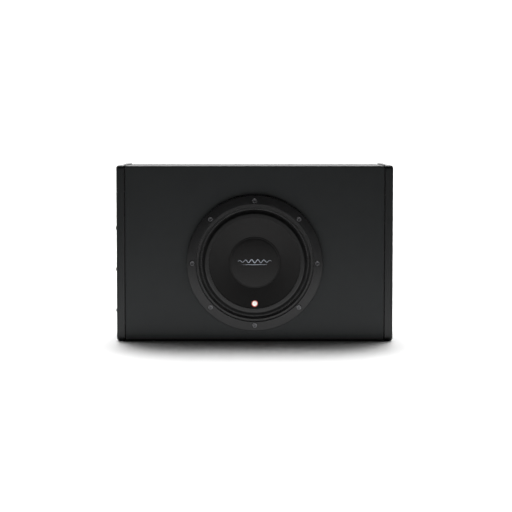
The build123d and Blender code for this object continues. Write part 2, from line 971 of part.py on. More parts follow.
capacitor_radius = 11.0
capacitor_length = 36.0
capacitor_spread = 28.0
capacitor_up = 36.0
capacitor_edge = 1.5
with BuildPart() as filter_capacitors:
    for side in (-0.5, 0.5):
        for rise in (-0.5, 0.5):
            rod(
                circuit_back,
                circuit_back + capacitor_length,
                bay_middle + side * capacitor_spread,
                circuit_low + capacitor_up + rise * capacitor_spread,
                capacitor_radius,
            )
    fillet(filter_capacitors.faces().group_by(Axis.X)[-1].edges(), capacitor_edge)
finish(filter_capacitors, "filter_capacitors")

transistor_width = 16.0
transistor_height = 21.0
transistor_thickness = 5.0
transistor_low = amp_middle - 8.0
transistor_count = 4
transistor_end = 6.0
lead_drop = 5.0
lead_pitch = 5.4
lead_half = 0.6
lead_thickness = 0.8
lead_in = 2.0
transistor_span = bay_front - bay_wall + body_side - 2 * transistor_end
transistor_pitch = transistor_span / transistor_count
transistor_spots = [
    -body_side + transistor_end + transistor_pitch * (k + 0.5) for k in range(transistor_count)
]
with BuildPart() as power_transistors:
    for y in transistor_spots:
        block(
            body_back,
            body_back + transistor_thickness,
            y - transistor_width / 2,
            y + transistor_width / 2,
            transistor_low,
            transistor_low + transistor_height,
        )
        for lead in (-lead_pitch, 0.0, lead_pitch):
            block(
                body_back + lead_in,
                body_back + lead_in + lead_thickness,
                y + lead - lead_half,
                y + lead + lead_half,
                transistor_low - lead_drop,
                transistor_low,
            )
            block(
                body_back + lead_in,
                circuit_face,
                y + lead - lead_half,
                y + lead + lead_half,
                transistor_low - lead_drop - lead_thickness,
                transistor_low - lead_drop,
            )
finish(power_transistors, "power_transistors")

bar_height = 10.0
bar_thickness = 3.0
bar_screw = 1.5
bar_screw_proud = 2.0
with BuildPart() as transistor_clamp_bar:
    block(
        body_back + transistor_thickness,
        body_back + transistor_thickness + bar_thickness,
        transistor_spots[0] - transistor_width / 2,
        transistor_spots[-1] + transistor_width / 2,
        transistor_low + (transistor_height - bar_height) / 2,
        transistor_low + (transistor_height + bar_height) / 2,
    )
    for y0, y1 in zip(transistor_spots, transistor_spots[1:]):
        rod(
            body_back,
            body_back + transistor_thickness + bar_thickness + bar_screw_proud,
            (y0 + y1) / 2,
            transistor_low + transistor_height / 2,
            bar_screw,
        )
finish(transistor_clamp_bar, "transistor_clamp_bar")

# Steel housing around the circuit, with a grommet where the speaker wires leave it
housing_back = left_face + housing_depth
housing_round = 3.0
wire_y = side_part_y
wire_up = 100.0
wire_z = circuit_low + wire_up
wire_half = 3.0
wire_hole_gap = 0.8
grommet_radius = 8.0
grommet_lip = 1.5
with BuildPart() as amp_housing:
    block(body_back, housing_back, -body_side, body_side, body_low, body_high)
    fillet(amp_housing.edges().filter_by(Axis.X), housing_round)
    block(
        body_back,
        housing_back - housing_wall,
        -body_side + housing_wall,
        body_side - housing_wall,
        body_low + housing_wall,
        body_high - housing_wall,
        mode=Mode.SUBTRACT,
    )
    rod(
        housing_back - housing_wall,
        housing_back,
        wire_y,
        wire_z,
        grommet_radius - grommet_lip,
        mode=Mode.SUBTRACT,
    )
finish(amp_housing, "amp_housing")

with BuildPart() as wire_grommet:
    rod(housing_back, housing_back + grommet_lip, wire_y, wire_z, grommet_radius)
    rod(
        housing_back - housing_wall,
        housing_back,
        wire_y,
        wire_z,
        grommet_radius - grommet_lip,
    )
    rod(
        housing_back - housing_wall - grommet_lip,
        housing_back - housing_wall,
        wire_y,
        wire_z,
        grommet_radius,
    )
    for z in (wire_z - wire_half, wire_z + wire_half):
        rod(
            housing_back - housing_wall - grommet_lip,
            housing_back + grommet_lip,
            wire_y,
            z,
            wire_radius + wire_hole_gap,
            mode=Mode.SUBTRACT,
        )
finish(wire_grommet, "wire_grommet")

# ---- Driver: fixed parts ----

flange_face = -basket_gasket_thickness - flange_thickness
flange_radius = ring_outer - flange_step
ring_inner = ring_outer - ring_width
basket_outer = cutout_radius - basket_fit
basket_inner = basket_outer - basket_wall
ledge_outer = spider_outer + 0.5
foot_width = 3.7
foot_radius = ring_inner + foot_width
foot_gap = 0.3


def driver_line(points):
    # Radius and depth pairs as points of a sketch beside the driver's axis.
    return [(radius, front + depth) for radius, depth in points]


driver_section = Plane.XY.offset(driver_z)
driver_axis = Axis((0, 0, driver_z), (0, 1, 0))

with BuildPart() as basket_gasket:
    with BuildSketch(on_driver(0)):
        Circle(flange_radius)
        Circle(cutout_radius, mode=Mode.SUBTRACT)
        with PolarLocations(screw_circle, screw_count):
            Circle(screw_shank_radius + screw_clearance, mode=Mode.SUBTRACT)
    extrude(amount=basket_gasket_thickness)
finish(basket_gasket, "basket_gasket")

base_outer = plate_radius + 1.6
base_inner = former_radius + coil_thickness + 7.0
wall_step = 1.2  # slanted walls keep their thickness
window_rim = 5.0
tab_reach = 17.5
tab_inner = ledge_outer - basket_wall / 2
tab_outer = ledge_outer + tab_reach
tab_half = 11.0
with BuildPart() as driver_basket:
    with BuildSketch(driver_section):
        with BuildLine():
            Polyline(
                *driver_line(
                    [
                        (flange_radius, flange_face),
                        (basket_inner, flange_face),
                        (basket_inner, basket_straight - basket_wall),
                        (ledge_outer, spider_depth - basket_wall),
                        (ledge_outer, spider_depth),
                        (ledge_outer - spider_foot - 1.5, spider_depth),
                        (base_outer - basket_wall, top_plate_depth - basket_wall),
                        (base_inner, top_plate_depth - basket_wall),
                        (base_inner, top_plate_depth),
                        (base_outer, top_plate_depth),
                        (ledge_outer - spider_foot, spider_depth + basket_wall),
                        (ledge_outer + basket_wall, spider_depth + basket_wall),
                        (ledge_outer + basket_wall, spider_depth - wall_step),
                        (basket_outer, basket_straight - wall_step),
                        (basket_outer, -basket_gasket_thickness),
                        (flange_radius, -basket_gasket_thickness),
                    ]
                ),
                close=True,
            )
        make_face()
    revolve(axis=driver_axis)
    with BuildSketch(on_driver(spider_depth - basket_wall)):
        Circle(basket_inner - window_rim)
        Circle(ledge_outer + 0.5, mode=Mode.SUBTRACT)
        with PolarLocations(0, basket_window_count // 2, start_angle=30, angular_range=180):
            Rectangle(2 * basket_outer, basket_spoke, mode=Mode.SUBTRACT)
    extrude(amount=spider_depth, mode=Mode.SUBTRACT)
    block(
        -tab_outer,
        -tab_inner,
        front + spider_depth,
        front + spider_depth + basket_wall,
        driver_z - tab_half,
        driver_z + tab_half,
    )
    with BuildSketch(on_driver(flange_face)):
        with PolarLocations(screw_circle, screw_count):
            Circle(screw_shank_radius + screw_clearance)
    extrude(amount=-flange_thickness, mode=Mode.SUBTRACT)
finish(driver_basket, "driver_basket")

crown_face = -ring_depth
rim_face = crown_face + ring_fall
head_seat = crown_face + screw_head_sink
ring_edge = 0.8
skirt_gap = 0.4  # ring to the baffle
with BuildPart() as trim_ring:
    with BuildSketch(driver_section):
        with BuildLine():
            Polyline(
                *driver_line(
                    [
                        (ring_outer, rim_face + ring_edge),
                        (ring_outer, -skirt_gap),
                        (ring_outer - ring_skirt, -skirt_gap),
                        (ring_outer - ring_skirt, flange_face),
                        (foot_radius + 0.5, flange_face),
                        (foot_radius + 0.5, flange_face - rubber - foot_gap),
                        (ring_inner, flange_face - rubber - foot_gap),
                        (ring_inner, crown_face + ring_edge),
                        (ring_inner + ring_edge, crown_face),
                    ]
                )
            )
            ThreePointArc(
                *driver_line(
                    [
                        (ring_inner + ring_edge, crown_face),
                        ((ring_inner + ring_outer) / 2, (crown_face + rim_face) / 2 - ring_bow),
                        (ring_outer - ring_edge, rim_face),
                    ]
                )
            )
            Line(*driver_line([(ring_outer - ring_edge, rim_face), (ring_outer, rim_face + ring_edge)]))
        make_face()
    revolve(axis=driver_axis)
    with BuildSketch(on_driver(head_seat)):
        with PolarLocations(screw_circle, screw_count):
            Circle(screw_head_radius + screw_clearance)
    extrude(amount=ring_depth, mode=Mode.SUBTRACT)
    with BuildSketch(on_driver(flange_face)):
        with PolarLocations(screw_circle, screw_count):
            Circle(screw_shank_radius + screw_clearance)
    extrude(amount=ring_depth, mode=Mode.SUBTRACT)
finish(trim_ring, "trim_ring")

with BuildPart(on_driver(head_seat)) as driver_screws:
    with PolarLocations(screw_circle, screw_count):
        Cylinder(
            screw_head_radius, screw_head_height, align=(Align.CENTER, Align.CENTER, Align.MIN)
        )
    fillet(driver_screws.faces().sort_by(Axis.Y)[:screw_count].edges(), screw_edge)
    with PolarLocations(screw_circle, screw_count):
        Cylinder(
            screw_shank_radius, screw_length, align=(Align.CENTER, Align.CENTER, Align.MAX)
        )
    with BuildSketch(on_driver(head_seat - screw_head_height)):
        with PolarLocations(screw_circle, screw_count):
            RegularPolygon(screw_socket, 6)
    extrude(amount=-screw_socket_depth, mode=Mode.SUBTRACT)
finish(driver_screws, "driver_screws")

coil_outer = former_radius + coil_thickness
with BuildPart() as top_plate:
    with BuildSketch(on_driver(top_plate_depth)):
        Circle(plate_radius)
        Circle(coil_outer + coil_gap, mode=Mode.SUBTRACT)
    extrude(amount=-plate_thickness)
finish(top_plate, "top_plate")

magnet_depth = top_plate_depth + plate_thickness
with BuildPart() as magnet:
    with BuildSketch(on_driver(magnet_depth)):
        Circle(magnet_radius)
        Circle(magnet_bore, mode=Mode.SUBTRACT)
    extrude(amount=-magnet_height)
    chamfer(magnet.edges().filter_by(GeomType.CIRCLE).group_by(SortBy.RADIUS)[-1], 1.0)
finish(magnet, "magnet")

back_plate_depth = magnet_depth + magnet_height
pole_radius = former_radius - former_wall - coil_gap
pole_start = top_plate_depth - 1.0
back_edge = 2.0
back_radius = magnet_radius - 2.5
with BuildPart() as back_plate:
    with BuildSketch(driver_section):
        with BuildLine():
            Polyline(
                *driver_line(
                    [
                        (pole_vent, pole_start),
                        (pole_radius - 1.0, pole_start),
                        (pole_radius, pole_start + 1.0),
                        (pole_radius, back_plate_depth),
                        (back_radius, back_plate_depth),
                        (back_radius, back_plate_depth + plate_thickness - back_edge),
                        (back_radius - back_edge, back_plate_depth + plate_thickness),
                        (pole_vent, back_plate_depth + plate_thickness),
                    ]
                ),
                close=True,
            )
        make_face()
    revolve(axis=driver_axis)
finish(back_plate, "back_plate")

# ---- Driver: moving parts ----

lip_face = flange_face + foot_gap  # front of the cone's lip
lip_inset = 16.5  # cone edge inside the basket
lip_outer = basket_inner - lip_inset
slope_start = lip_outer - cone_lip
cone_slope = (cone_neck_depth - lip_face) / (slope_start - former_radius)


def cone_front(radius):
    return lip_face + (slope_start - radius) * cone_slope


cone_skin = cone_thickness * math.sqrt(1 + cone_slope**2)
neck_outer = former_radius + cone_thickness
with BuildPart() as cone:
    with BuildSketch(driver_section):
        with BuildLine():
            Polyline(
                *driver_line(
                    [
                        (lip_outer, lip_face),
                        (slope_start, lip_face),
                        (former_radius, cone_front(former_radius)),
                        (former_radius, cone_front(former_radius) + neck_height),
                        (neck_outer, cone_front(former_radius) + neck_height),
                        (neck_outer, cone_front(neck_outer) + cone_skin),
                        (
                            slope_start + (cone_skin - cone_thickness) / cone_slope,
                            lip_face + cone_thickness,
                        ),
                        (lip_outer, lip_face + cone_thickness),
                    ]
                ),
                close=True,
            )
        make_face()
    revolve(axis=driver_axis)
finish(cone, "cone")

# Surround: inner lip on the cone, a half roll that dips inwards, foot on the flange under the
# trim ring
rear_inner = lip_outer + foot_gap
rear_outer = basket_inner - foot_gap
roll_inner = rear_inner + rubber
roll_outer = rear_outer - rubber
roll_middle = (roll_inner + roll_outer) / 2
lip_top = lip_face - rubber
foot_top = flange_face - rubber
roll_trough = lip_top + roll_dip
with BuildPart() as surround:
    with BuildSketch(driver_section):
        with BuildLine():
            Polyline(
                *driver_line(
                    [
                        (roll_inner, lip_top),
                        (slope_start + 0.5, lip_top),
                        (slope_start + 0.5, lip_face),
                        (rear_inner, lip_face),
                    ]
                )
            )
            ThreePointArc(
                *driver_line(
                    [
                        (rear_inner, lip_face),
                        (roll_middle, roll_trough + rubber),
                        (rear_outer, flange_face),
                    ]
                )
            )
            Polyline(
                *driver_line(
                    [
                        (rear_outer, flange_face),
                        (foot_radius, flange_face),
                        (foot_radius, foot_top),
                        (roll_outer, foot_top),
                    ]
                )
            )
            ThreePointArc(
                *driver_line(
                    [(roll_outer, foot_top), (roll_middle, roll_trough), (roll_inner, lip_top)]
                )
            )
        make_face()
    revolve(axis=driver_axis)
finish(surround, "surround")

cap_rim = cone_front(dust_cap_radius)
cap_apex = cap_rim - dust_cap_rise
inner_rim = dust_cap_radius - 1.0
with BuildPart() as dust_cap:
    with BuildSketch(driver_section):
        with BuildLine():
            apex = (0, front + cap_apex)
            inner_apex = (0, front + cap_apex + dust_cap_wall)
            rim_point = (dust_cap_radius, front + cap_rim)
            inner_point = (inner_rim, front + cone_front(inner_rim))
            TangentArc(apex, rim_point, tangent=(1, 0))
            Line(rim_point, inner_point)
            TangentArc(inner_apex, inner_point, tangent=(1, 0))
            Line(inner_apex, apex)
        make_face()
    revolve(axis=driver_axis)
finish(dust_cap, "dust_cap")

former_start = cone_neck_depth
coil_start = top_plate_depth + plate_thickness / 2 - coil_height / 2
former_end = coil_start + coil_height
with BuildPart() as voice_coil_former:
    with BuildSketch(on_driver(former_start)):
        Circle(former_radius)
        Circle(former_radius - former_wall, mode=Mode.SUBTRACT)
    extrude(amount=former_start - former_end)
finish(voice_coil_former, "voice_coil_former")

with BuildPart() as voice_coil:
    with BuildSketch(on_driver(coil_start)):
        Circle(coil_outer)
        Circle(former_radius, mode=Mode.SUBTRACT)
    extrude(amount=-coil_height)
finish(voice_coil, "voice_coil")

# Corrugated spider: foot on the basket's ledge, inner edge on the former
spider_back = spider_depth
wave_outer = spider_outer - spider_foot
wave_inner = former_radius + spider_neck
wave_step = (wave_outer - wave_inner) / (2 * spider_rolls)
wave_points = [
    (wave_inner + wave_step * (k + 0.5), spider_wave * (-1) ** k) for k in range(2 * spider_rolls)
]
with BuildPart() as spider:
    with BuildSketch(driver_section):
        with BuildLine():
            rear = [(former_radius, spider_back), (wave_inner, spider_back)]
            rear += [(radius, spider_back + height) for radius, height in wave_points]
            rear += [(wave_outer, spider_back), (spider_outer, spider_back)]
            fore = [(radius, depth - spider_thickness) for radius, depth in reversed(rear)]
            Polyline(*driver_line(rear + fore), close=True)
        make_face()
    revolve(axis=driver_axis)
finish(spider, "spider")

# ---- Driver terminals and leads ----

strip_thickness = 2.0
lug_thickness = 0.8
lug_half = 2.0
lug_out = 6.0
strip_face = spider_depth - strip_thickness
lug_proud = 3.0
strip_end = -tab_inner - 4.0
lug_start = -tab_outer - lug_proud
lug_end = strip_end - 2.0
with BuildPart() as terminal_strip:
    block(
        -tab_outer + 1.0,
        strip_end,
        front + strip_face,
        front + spider_depth,
        driver_z - tab_half + 1.0,
        driver_z + tab_half - 1.0,
    )
finish(terminal_strip, "terminal_strip")

with BuildPart() as terminal_lugs:
    for z in (driver_z - lug_out, driver_z + lug_out):
        block(
            lug_start,
            lug_end,
            front + strip_face - lug_thickness,
            front + strip_face,
            z - lug_half,
            z + lug_half,
        )
finish(terminal_lugs, "terminal_lugs")


def lead(points, radii, radius):
    # Round lead along straight runs joined by tangent arcs.
    with BuildPart() as tube:
        with BuildLine() as path:
            FilletPolyline(*points, radius=radii)
        start = path.line @ 0
        with BuildSketch(Plane(origin=start, z_dir=path.line % 0)):
            Circle(radius)
        sweep()
    return tube.part


def run_radii(points):
    # Each corner's arc is as large as its two runs allow.
    radii = []
    for before, corner, after in zip(points, points[1:], points[2:]):
        run_in = Vector(*corner) - Vector(*before)
        run_out = Vector(*after) - Vector(*corner)
        turn = math.radians(run_in.get_angle(run_out))
        radii.append(arc_share * min(run_in.length, run_out.length) / math.tan(turn / 2))
    return radii


wire_start_y = front + strip_face - lug_thickness / 2
wire_straight = 12.0  # each side of the grommet
# Steps of each wire from its lug
wire_points = [
    (0.0, 0.0, 0.0),
    (-18.0, 0.0, 0.0),
    (-34.0, 7.0, 5.0),
    (-50.0, 16.5, 9.0),
]
with BuildPart() as speaker_wires:
    for side in (-1, 1):
        lug_z = driver_z + side * lug_out
        hole_z = wire_z + side * wire_half
        route = [
            (lug_start + dx, wire_start_y + dy, lug_z + dz) for dx, dy, dz in wire_points
        ]
        route.append((housing_back + wire_straight, wire_y - 0.6, hole_z + wire_hole_gap))
        route.append((housing_back - wire_straight, wire_y, hole_z))
        route.append((circuit_back, wire_y, hole_z))
        radii = run_radii(route)
        print("speaker wire radii", [round(value, 1) for value in radii])
        add(lead(route, radii, wire_radius))
finish(speaker_wires, "speaker_wires")

# Flexible leads from the lugs to the back of the cone
tinsel_face = strip_face - lug_thickness - tinsel_radius
tinsel_end = neck_outer + 9.0
# Length, depth and sideways steps of each lead from the lug's end
tinsel_points = [(-4.0, 0.0, 0.0), (5.0, -1.0, 0.4), (15.0, -6.0, 1.0), (26.0, -15.0, 1.6)]
with BuildPart() as tinsel_leads:
    for side in (-1, 1):
        z = driver_z + side * lug_out
        route = [
            (lug_end + along, front + tinsel_face + deep, z - side * across)
            for along, deep, across in tinsel_points
        ]
        route.append(
            (-tinsel_end, front + cone_front(tinsel_end) + cone_skin + 2.0, z - side * 2.0)
        )
        radii = run_radii(route)
        print("tinsel lead radii", [round(value, 1) for value in radii])
        add(lead(route, radii, tinsel_radius))
finish(tinsel_leads, "tinsel_leads")
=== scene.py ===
import json
import math
import random

import bmesh
import bpy
from mathutils import Matrix, Vector, noise


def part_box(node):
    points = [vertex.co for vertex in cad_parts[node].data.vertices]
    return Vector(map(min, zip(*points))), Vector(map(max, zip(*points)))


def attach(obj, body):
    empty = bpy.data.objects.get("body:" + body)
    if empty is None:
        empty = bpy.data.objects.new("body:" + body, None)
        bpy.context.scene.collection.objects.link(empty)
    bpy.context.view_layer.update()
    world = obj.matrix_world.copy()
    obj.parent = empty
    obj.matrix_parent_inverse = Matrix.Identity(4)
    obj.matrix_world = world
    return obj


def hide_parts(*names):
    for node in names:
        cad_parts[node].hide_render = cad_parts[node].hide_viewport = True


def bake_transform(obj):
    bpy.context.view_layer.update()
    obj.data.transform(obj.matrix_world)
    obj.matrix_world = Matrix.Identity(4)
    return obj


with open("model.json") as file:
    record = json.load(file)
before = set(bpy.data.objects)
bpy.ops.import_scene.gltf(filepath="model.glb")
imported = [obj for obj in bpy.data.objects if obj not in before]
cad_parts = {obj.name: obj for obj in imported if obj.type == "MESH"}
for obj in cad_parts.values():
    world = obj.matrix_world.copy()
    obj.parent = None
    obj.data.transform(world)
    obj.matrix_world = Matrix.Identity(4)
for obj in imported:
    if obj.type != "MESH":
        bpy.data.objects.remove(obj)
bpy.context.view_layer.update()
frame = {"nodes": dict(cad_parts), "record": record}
print("frame loaded")

mm = 0.001
nodes = frame["nodes"]
ringLow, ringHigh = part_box("trim_ring")
driverX = (ringLow.x + ringHigh.x) / 2
driverZ = (ringLow.z + ringHigh.z) / 2
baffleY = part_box("front_baffle")[0].y  # front of the baffle; driver depths count from here


class Channel:
    def __init__(self, board, socket):
        self.board, self.socket = board, socket

    def maths(self, operation, *terms):
        return self.board.node("ShaderNodeMath", {"operation": operation}, dict(enumerate(terms)))[0]

    def __add__(self, other):
        return self.maths("ADD", self, other)

    def __sub__(self, other):
        return self.maths("SUBTRACT", self, other)

    def __rsub__(self, other):
        return self.maths("SUBTRACT", other, self)

    def __mul__(self, other):
        return self.maths("MULTIPLY", self, other)

    def __truediv__(self, other):
        return self.maths("DIVIDE", self, other)

    def __gt__(self, other):
        return self.maths("GREATER_THAN", self, other)

    def __lt__(self, other):
        return self.maths("LESS_THAN", self, other)

    def __pow__(self, other):
        return self.maths("POWER", self, other)

    __radd__ = __add__
    __rmul__ = __mul__


class Outputs:
    def __init__(self, board, made):
        self.board, self.made = board, made

    def __getitem__(self, key):
        return Channel(self.board, self.made.outputs[key])


class Board:  # a node tree and the one way of adding to it
    def __init__(self, tree):
        self.tree = tree

    def node(self, kind, settings=None, values=None):
        made = self.tree.nodes.new(kind)
        for key, value in (settings or {}).items():
            if key == "stops":
                ramp = made.color_ramp
                while len(ramp.elements) < len(value):
                    ramp.elements.new(0.5)
                for element, (place, shade) in zip(ramp.elements, value):
                    element.position = place
                    element.color = (shade, shade, shade, 1.0)
            else:
                setattr(made, key, value)
        for key, value in (values or {}).items():
            if isinstance(value, Channel):
                self.tree.links.new(value.socket, made.inputs[key])
            elif value is not None:
                made.inputs[key].default_value = value
        return Outputs(self, made)


class Paint(Board):
    def __init__(self, name, **fixed):
        self.material = bpy.data.materials.new(name)
        self.material.use_nodes = True
        super().__init__(self.material.node_tree)
        self.tree.nodes.clear()
        values = {key.replace("_", " "): value for key, value in fixed.items()}
        self.shader = self.node("ShaderNodeBsdfPrincipled", values=values)
        self.node("ShaderNodeOutputMaterial", values={"Surface": self.shader[0]})
        self.place = self.node("ShaderNodeTexCoord")["Object"]

    def stretched(self, scale, shift=(0, 0, 0), turn=(0, 0, 0)):
        return self.node("ShaderNodeMapping", values={"Vector": self.place, "Location": shift,
                                                       "Rotation": turn, "Scale": scale})[0]

    def noise(self, size, detail=3.0, place=None, rough=0.55):  # size of a blot in metres
        return self.node("ShaderNodeTexNoise", values={
            "Vector": place or self.place, "Scale": 1 / size, "Detail": detail, "Roughness": rough})[0]

    def cells(self, size, feature="F1", place=None):
        return self.node("ShaderNodeTexVoronoi", {"feature": feature}, {
            "Vector": place or self.place, "Scale": 1 / size})[0]

    def ramp(self, value, stops):
        return self.node("ShaderNodeValToRGB", {"stops": stops}, {0: value})[0]

    def mix(self, amount, first, second):
        first, second = [(*c, 1.0) if isinstance(c, tuple) and len(c) == 3 else c for c in (first, second)]
        return self.node("ShaderNodeMix", {"data_type": "RGBA"}, {0: amount, 6: first, 7: second})[2]

    def parts(self, vector=None):
        split = self.node("ShaderNodeSeparateXYZ", values={0: vector or self.place})
        return split[0], split[1], split[2]

    def bump(self, height, distance, strength=1.0, under=None):
        return self.node("ShaderNodeBump", values={
            "Height": height, "Distance": distance, "Strength": strength, "Normal": under})[0]

    def polar(self):  # angle and radius about the driver's axis
        x, _, z = self.parts()
        return (z - driverZ).maths("ARCTAN2", z - driverZ, x - driverX), ((z - driverZ) ** 2 + (x - driverX) ** 2) ** 0.5

    def facing(self, axis):  # how far the surface faces along an axis, -1 to 1
        return self.parts(self.node("ShaderNodeNewGeometry")["Normal"])[axis]

    def give(self, **channels):
        for key, value in channels.items():
            self.tree.links.new(value.socket, self.shader.made.inputs[key.replace("_", " ")])
        return self.material


def grained(name, look):
    # Moulded, painted or cast skin: blotches, a fine grain, a little dust on what faces up
    p = Paint(name, Metallic=look.get("metal", 0.0), IOR=look.get("ior", 1.5),
              Sheen_Weight=look.get("sheen", 0.0), Specular_IOR_Level=look.get("shine", 0.5))
    blots = p.noise(look.get("blot", 0.03), 4.0)
    grain = p.noise(look["grain"], 2.0)
    pits = p.cells(look["grain"] * 1.6)
    colour = p.mix(blots, look["dark"], look["light"])
    colour = p.mix(grain * look.get("speck", 0.25), colour, look["light"])
    rise = grain * 0.6 + pits * 0.4
    rough = look["rough"] + (blots - 0.5) * look.get("spread", 0.12) + (grain - 0.5) * 0.08
    if look.get("dust"):
        lie = p.ramp(p.facing(2), [(0.55, 0.0), (1.0, 1.0)]) * look["dust"] * blots
        colour = p.mix(lie, colour, (0.30, 0.29, 0.28))
    return p.give(Base_Color=colour, Roughness=rough, Normal=p.bump(rise, look.get("deep", 0.05) * mm))


def brushed(name, look):
    # Metal with fine lines along one axis and a few rubbed spots
    p = Paint(name, Metallic=1.0, Specular_IOR_Level=0.5)
    lines = p.noise(0.02, 5.0, p.stretched(look["lines"]), 0.7)
    blots = p.noise(look.get("blot", 0.012), 4.0)
    colour = p.mix(lines * 0.6 + blots * 0.4, look["dark"], look["light"])
    rough = look["rough"] + (lines - 0.5) * 0.18 + (blots - 0.5) * 0.14
    return p.give(Base_Color=colour, Roughness=rough, Normal=p.bump(lines, look.get("deep", 0.02) * mm))


finishes = {}

skins = {
    "board_finish": {"dark": (0.0040, 0.0048, 0.0050), "light": (0.0072, 0.0082, 0.0086), "rough": 0.60, "shine": 0.15,
                     "grain": 0.0007, "deep": 0.08, "blot": 0.05, "spread": 0.10},
    "cap_plastic": {"dark": (0.0035, 0.0039, 0.0041), "light": (0.0062, 0.0068, 0.0071), "rough": 0.42, "shine": 0.145,
                    "grain": 0.0005, "deep": 0.05, "blot": 0.04},
    "ring_plastic": {"dark": (0.0038, 0.0038, 0.0040), "light": (0.0072, 0.0072, 0.0074), "rough": 0.32, "shine": 0.125,
                     "grain": 0.0004, "deep": 0.03, "blot": 0.02},
    "amp_casting": {"dark": (0.022, 0.022, 0.024), "light": (0.045, 0.045, 0.048), "rough": 0.46,
                    "grain": 0.0008, "deep": 0.07, "metal": 0.75, "speck": 0.35},
    "panel_steel": {"dark": (0.018, 0.018, 0.020), "light": (0.028, 0.028, 0.030), "rough": 0.42,
                    "grain": 0.0004, "deep": 0.03},
    "basket_steel": {"dark": (0.014, 0.014, 0.015), "light": (0.026, 0.026, 0.028), "rough": 0.55,
                     "grain": 0.0006, "deep": 0.06},
    "knob_plastic": {"dark": (0.020, 0.020, 0.020), "light": (0.034, 0.034, 0.034), "rough": 0.60,
                     "grain": 0.0003, "deep": 0.03, "blot": 0.006, "sheen": 0.1},
    "switch_plastic": {"dark": (0.030, 0.030, 0.031), "light": (0.045, 0.045, 0.046), "rough": 0.45,
                       "grain": 0.0003, "deep": 0.02, "blot": 0.006},
    "slider_plastic": {"dark": (0.60, 0.60, 0.57), "light": (0.74, 0.74, 0.71), "rough": 0.42,
                       "grain": 0.0003, "deep": 0.02, "blot": 0.004},
    "jack_insert": {"dark": (0.58, 0.58, 0.56), "light": (0.74, 0.74, 0.72), "rough": 0.30,
                    "grain": 0.0003, "deep": 0.01, "blot": 0.004},
    "socket_plastic": {"dark": (0.022, 0.022, 0.022), "light": (0.038, 0.038, 0.038), "rough": 0.48,
                       "grain": 0.0003, "deep": 0.03, "blot": 0.008},
    "terminal_plastic": {"dark": (0.026, 0.026, 0.026), "light": (0.044, 0.044, 0.044), "rough": 0.46,
                         "grain": 0.0003, "deep": 0.03, "blot": 0.008},
    "capacitor_sleeve": {"dark": (0.016, 0.019, 0.040), "light": (0.030, 0.036, 0.066), "rough": 0.30,
                         "grain": 0.0006, "deep": 0.02, "blot": 0.01},
    "transistor_black": {"dark": (0.022, 0.022, 0.022), "light": (0.036, 0.036, 0.036), "rough": 0.50,
                         "grain": 0.0004, "deep": 0.04, "blot": 0.006},
    "ferrite": {"dark": (0.040, 0.040, 0.043), "light": (0.075, 0.075, 0.080), "rough": 0.58,
                "grain": 0.0009, "deep": 0.10, "speck": 0.5},
    "grommet_rubber": {"dark": (0.014, 0.014, 0.014), "light": (0.024, 0.024, 0.024), "rough": 0.70,
                       "grain": 0.0004, "deep": 0.03, "blot": 0.006},
    "wire_sleeve": {"dark": (0.26, 0.012, 0.012), "light": (0.38, 0.022, 0.020), "rough": 0.42,
                    "grain": 0.0006, "deep": 0.02, "blot": 0.008},
    "strip_fibre": {"dark": (0.24, 0.13, 0.05), "light": (0.40, 0.23, 0.10), "rough": 0.62,
                    "grain": 0.0004, "deep": 0.05, "blot": 0.004, "speck": 0.5},
    "foam": {"dark": (0.008, 0.008, 0.008), "light": (0.020, 0.020, 0.020), "rough": 0.92,
             "grain": 0.0007, "deep": 0.25, "blot": 0.01, "speck": 0.5},
}
metals = {
    "black_screw": {"dark": (0.025, 0.025, 0.027), "light": (0.060, 0.060, 0.062), "rough": 0.38,
                    "lines": (1, 1, 1), "blot": 0.002},
    "bright_screw": {"dark": (0.012, 0.012, 0.013), "light": (0.060, 0.060, 0.062), "rough": 0.36,
                     "lines": (1, 1, 1), "blot": 0.002},
    # bright metal for rings on the screw-head edges: a painted highlight
    "rubbed_rim": {"dark": (0.06, 0.06, 0.062), "light": (0.26, 0.26, 0.27), "rough": 0.30,
                   "lines": (1, 1, 1), "blot": 0.0015},
    "standoff_brass": {"dark": (0.52, 0.38, 0.14), "light": (0.72, 0.56, 0.26), "rough": 0.30, "lines": (1, 12, 12)},
    "bar_steel": {"dark": (0.42, 0.42, 0.43), "light": (0.62, 0.62, 0.63), "rough": 0.34, "lines": (12, 1, 12)},
    "pot_metal": {"dark": (0.45, 0.44, 0.41), "light": (0.66, 0.65, 0.61), "rough": 0.32, "lines": (1, 12, 12)},
    "jack_plate": {"dark": (0.56, 0.50, 0.36), "light": (0.78, 0.71, 0.54), "rough": 0.22, "lines": (12, 1, 1)},
    "housing_steel": {"dark": (0.40, 0.40, 0.41), "light": (0.60, 0.60, 0.62), "rough": 0.36, "lines": (1, 8, 1)},
    "plated_steel": {"dark": (0.38, 0.38, 0.39), "light": (0.58, 0.58, 0.60), "rough": 0.34, "lines": (6, 1, 6)},
    "former_aluminium": {"dark": (0.60, 0.60, 0.61), "light": (0.78, 0.78, 0.79), "rough": 0.26, "lines": (1, 14, 1)},
    "lug_brass": {"dark": (0.58, 0.55, 0.46), "light": (0.78, 0.75, 0.66), "rough": 0.28, "lines": (12, 1, 1)},
}
for name, look in skins.items():
    finishes[name] = grained(name, look)
for name, look in metals.items():
    finishes[name] = brushed(name, look)


def coiled(name, look):  # enamelled wire: round turns side by side along one axis
    p = Paint(name, Metallic=1.0, Coat_Roughness=0.15)
    along = p.parts()[look["axis"]] / look["pitch"]
    turn = (along * math.tau).maths("SINE", along * math.tau)
    blots = p.noise(0.01, 3.0)
    colour = p.mix(turn * 0.35 + blots * 0.5, look["dark"], look["light"])
    return p.give(Base_Color=colour, Roughness=0.26 + blots * 0.2, Coat_Weight=blots * 0.3 + 0.4,
                  Normal=p.bump(turn, look["pitch"] * 0.25))


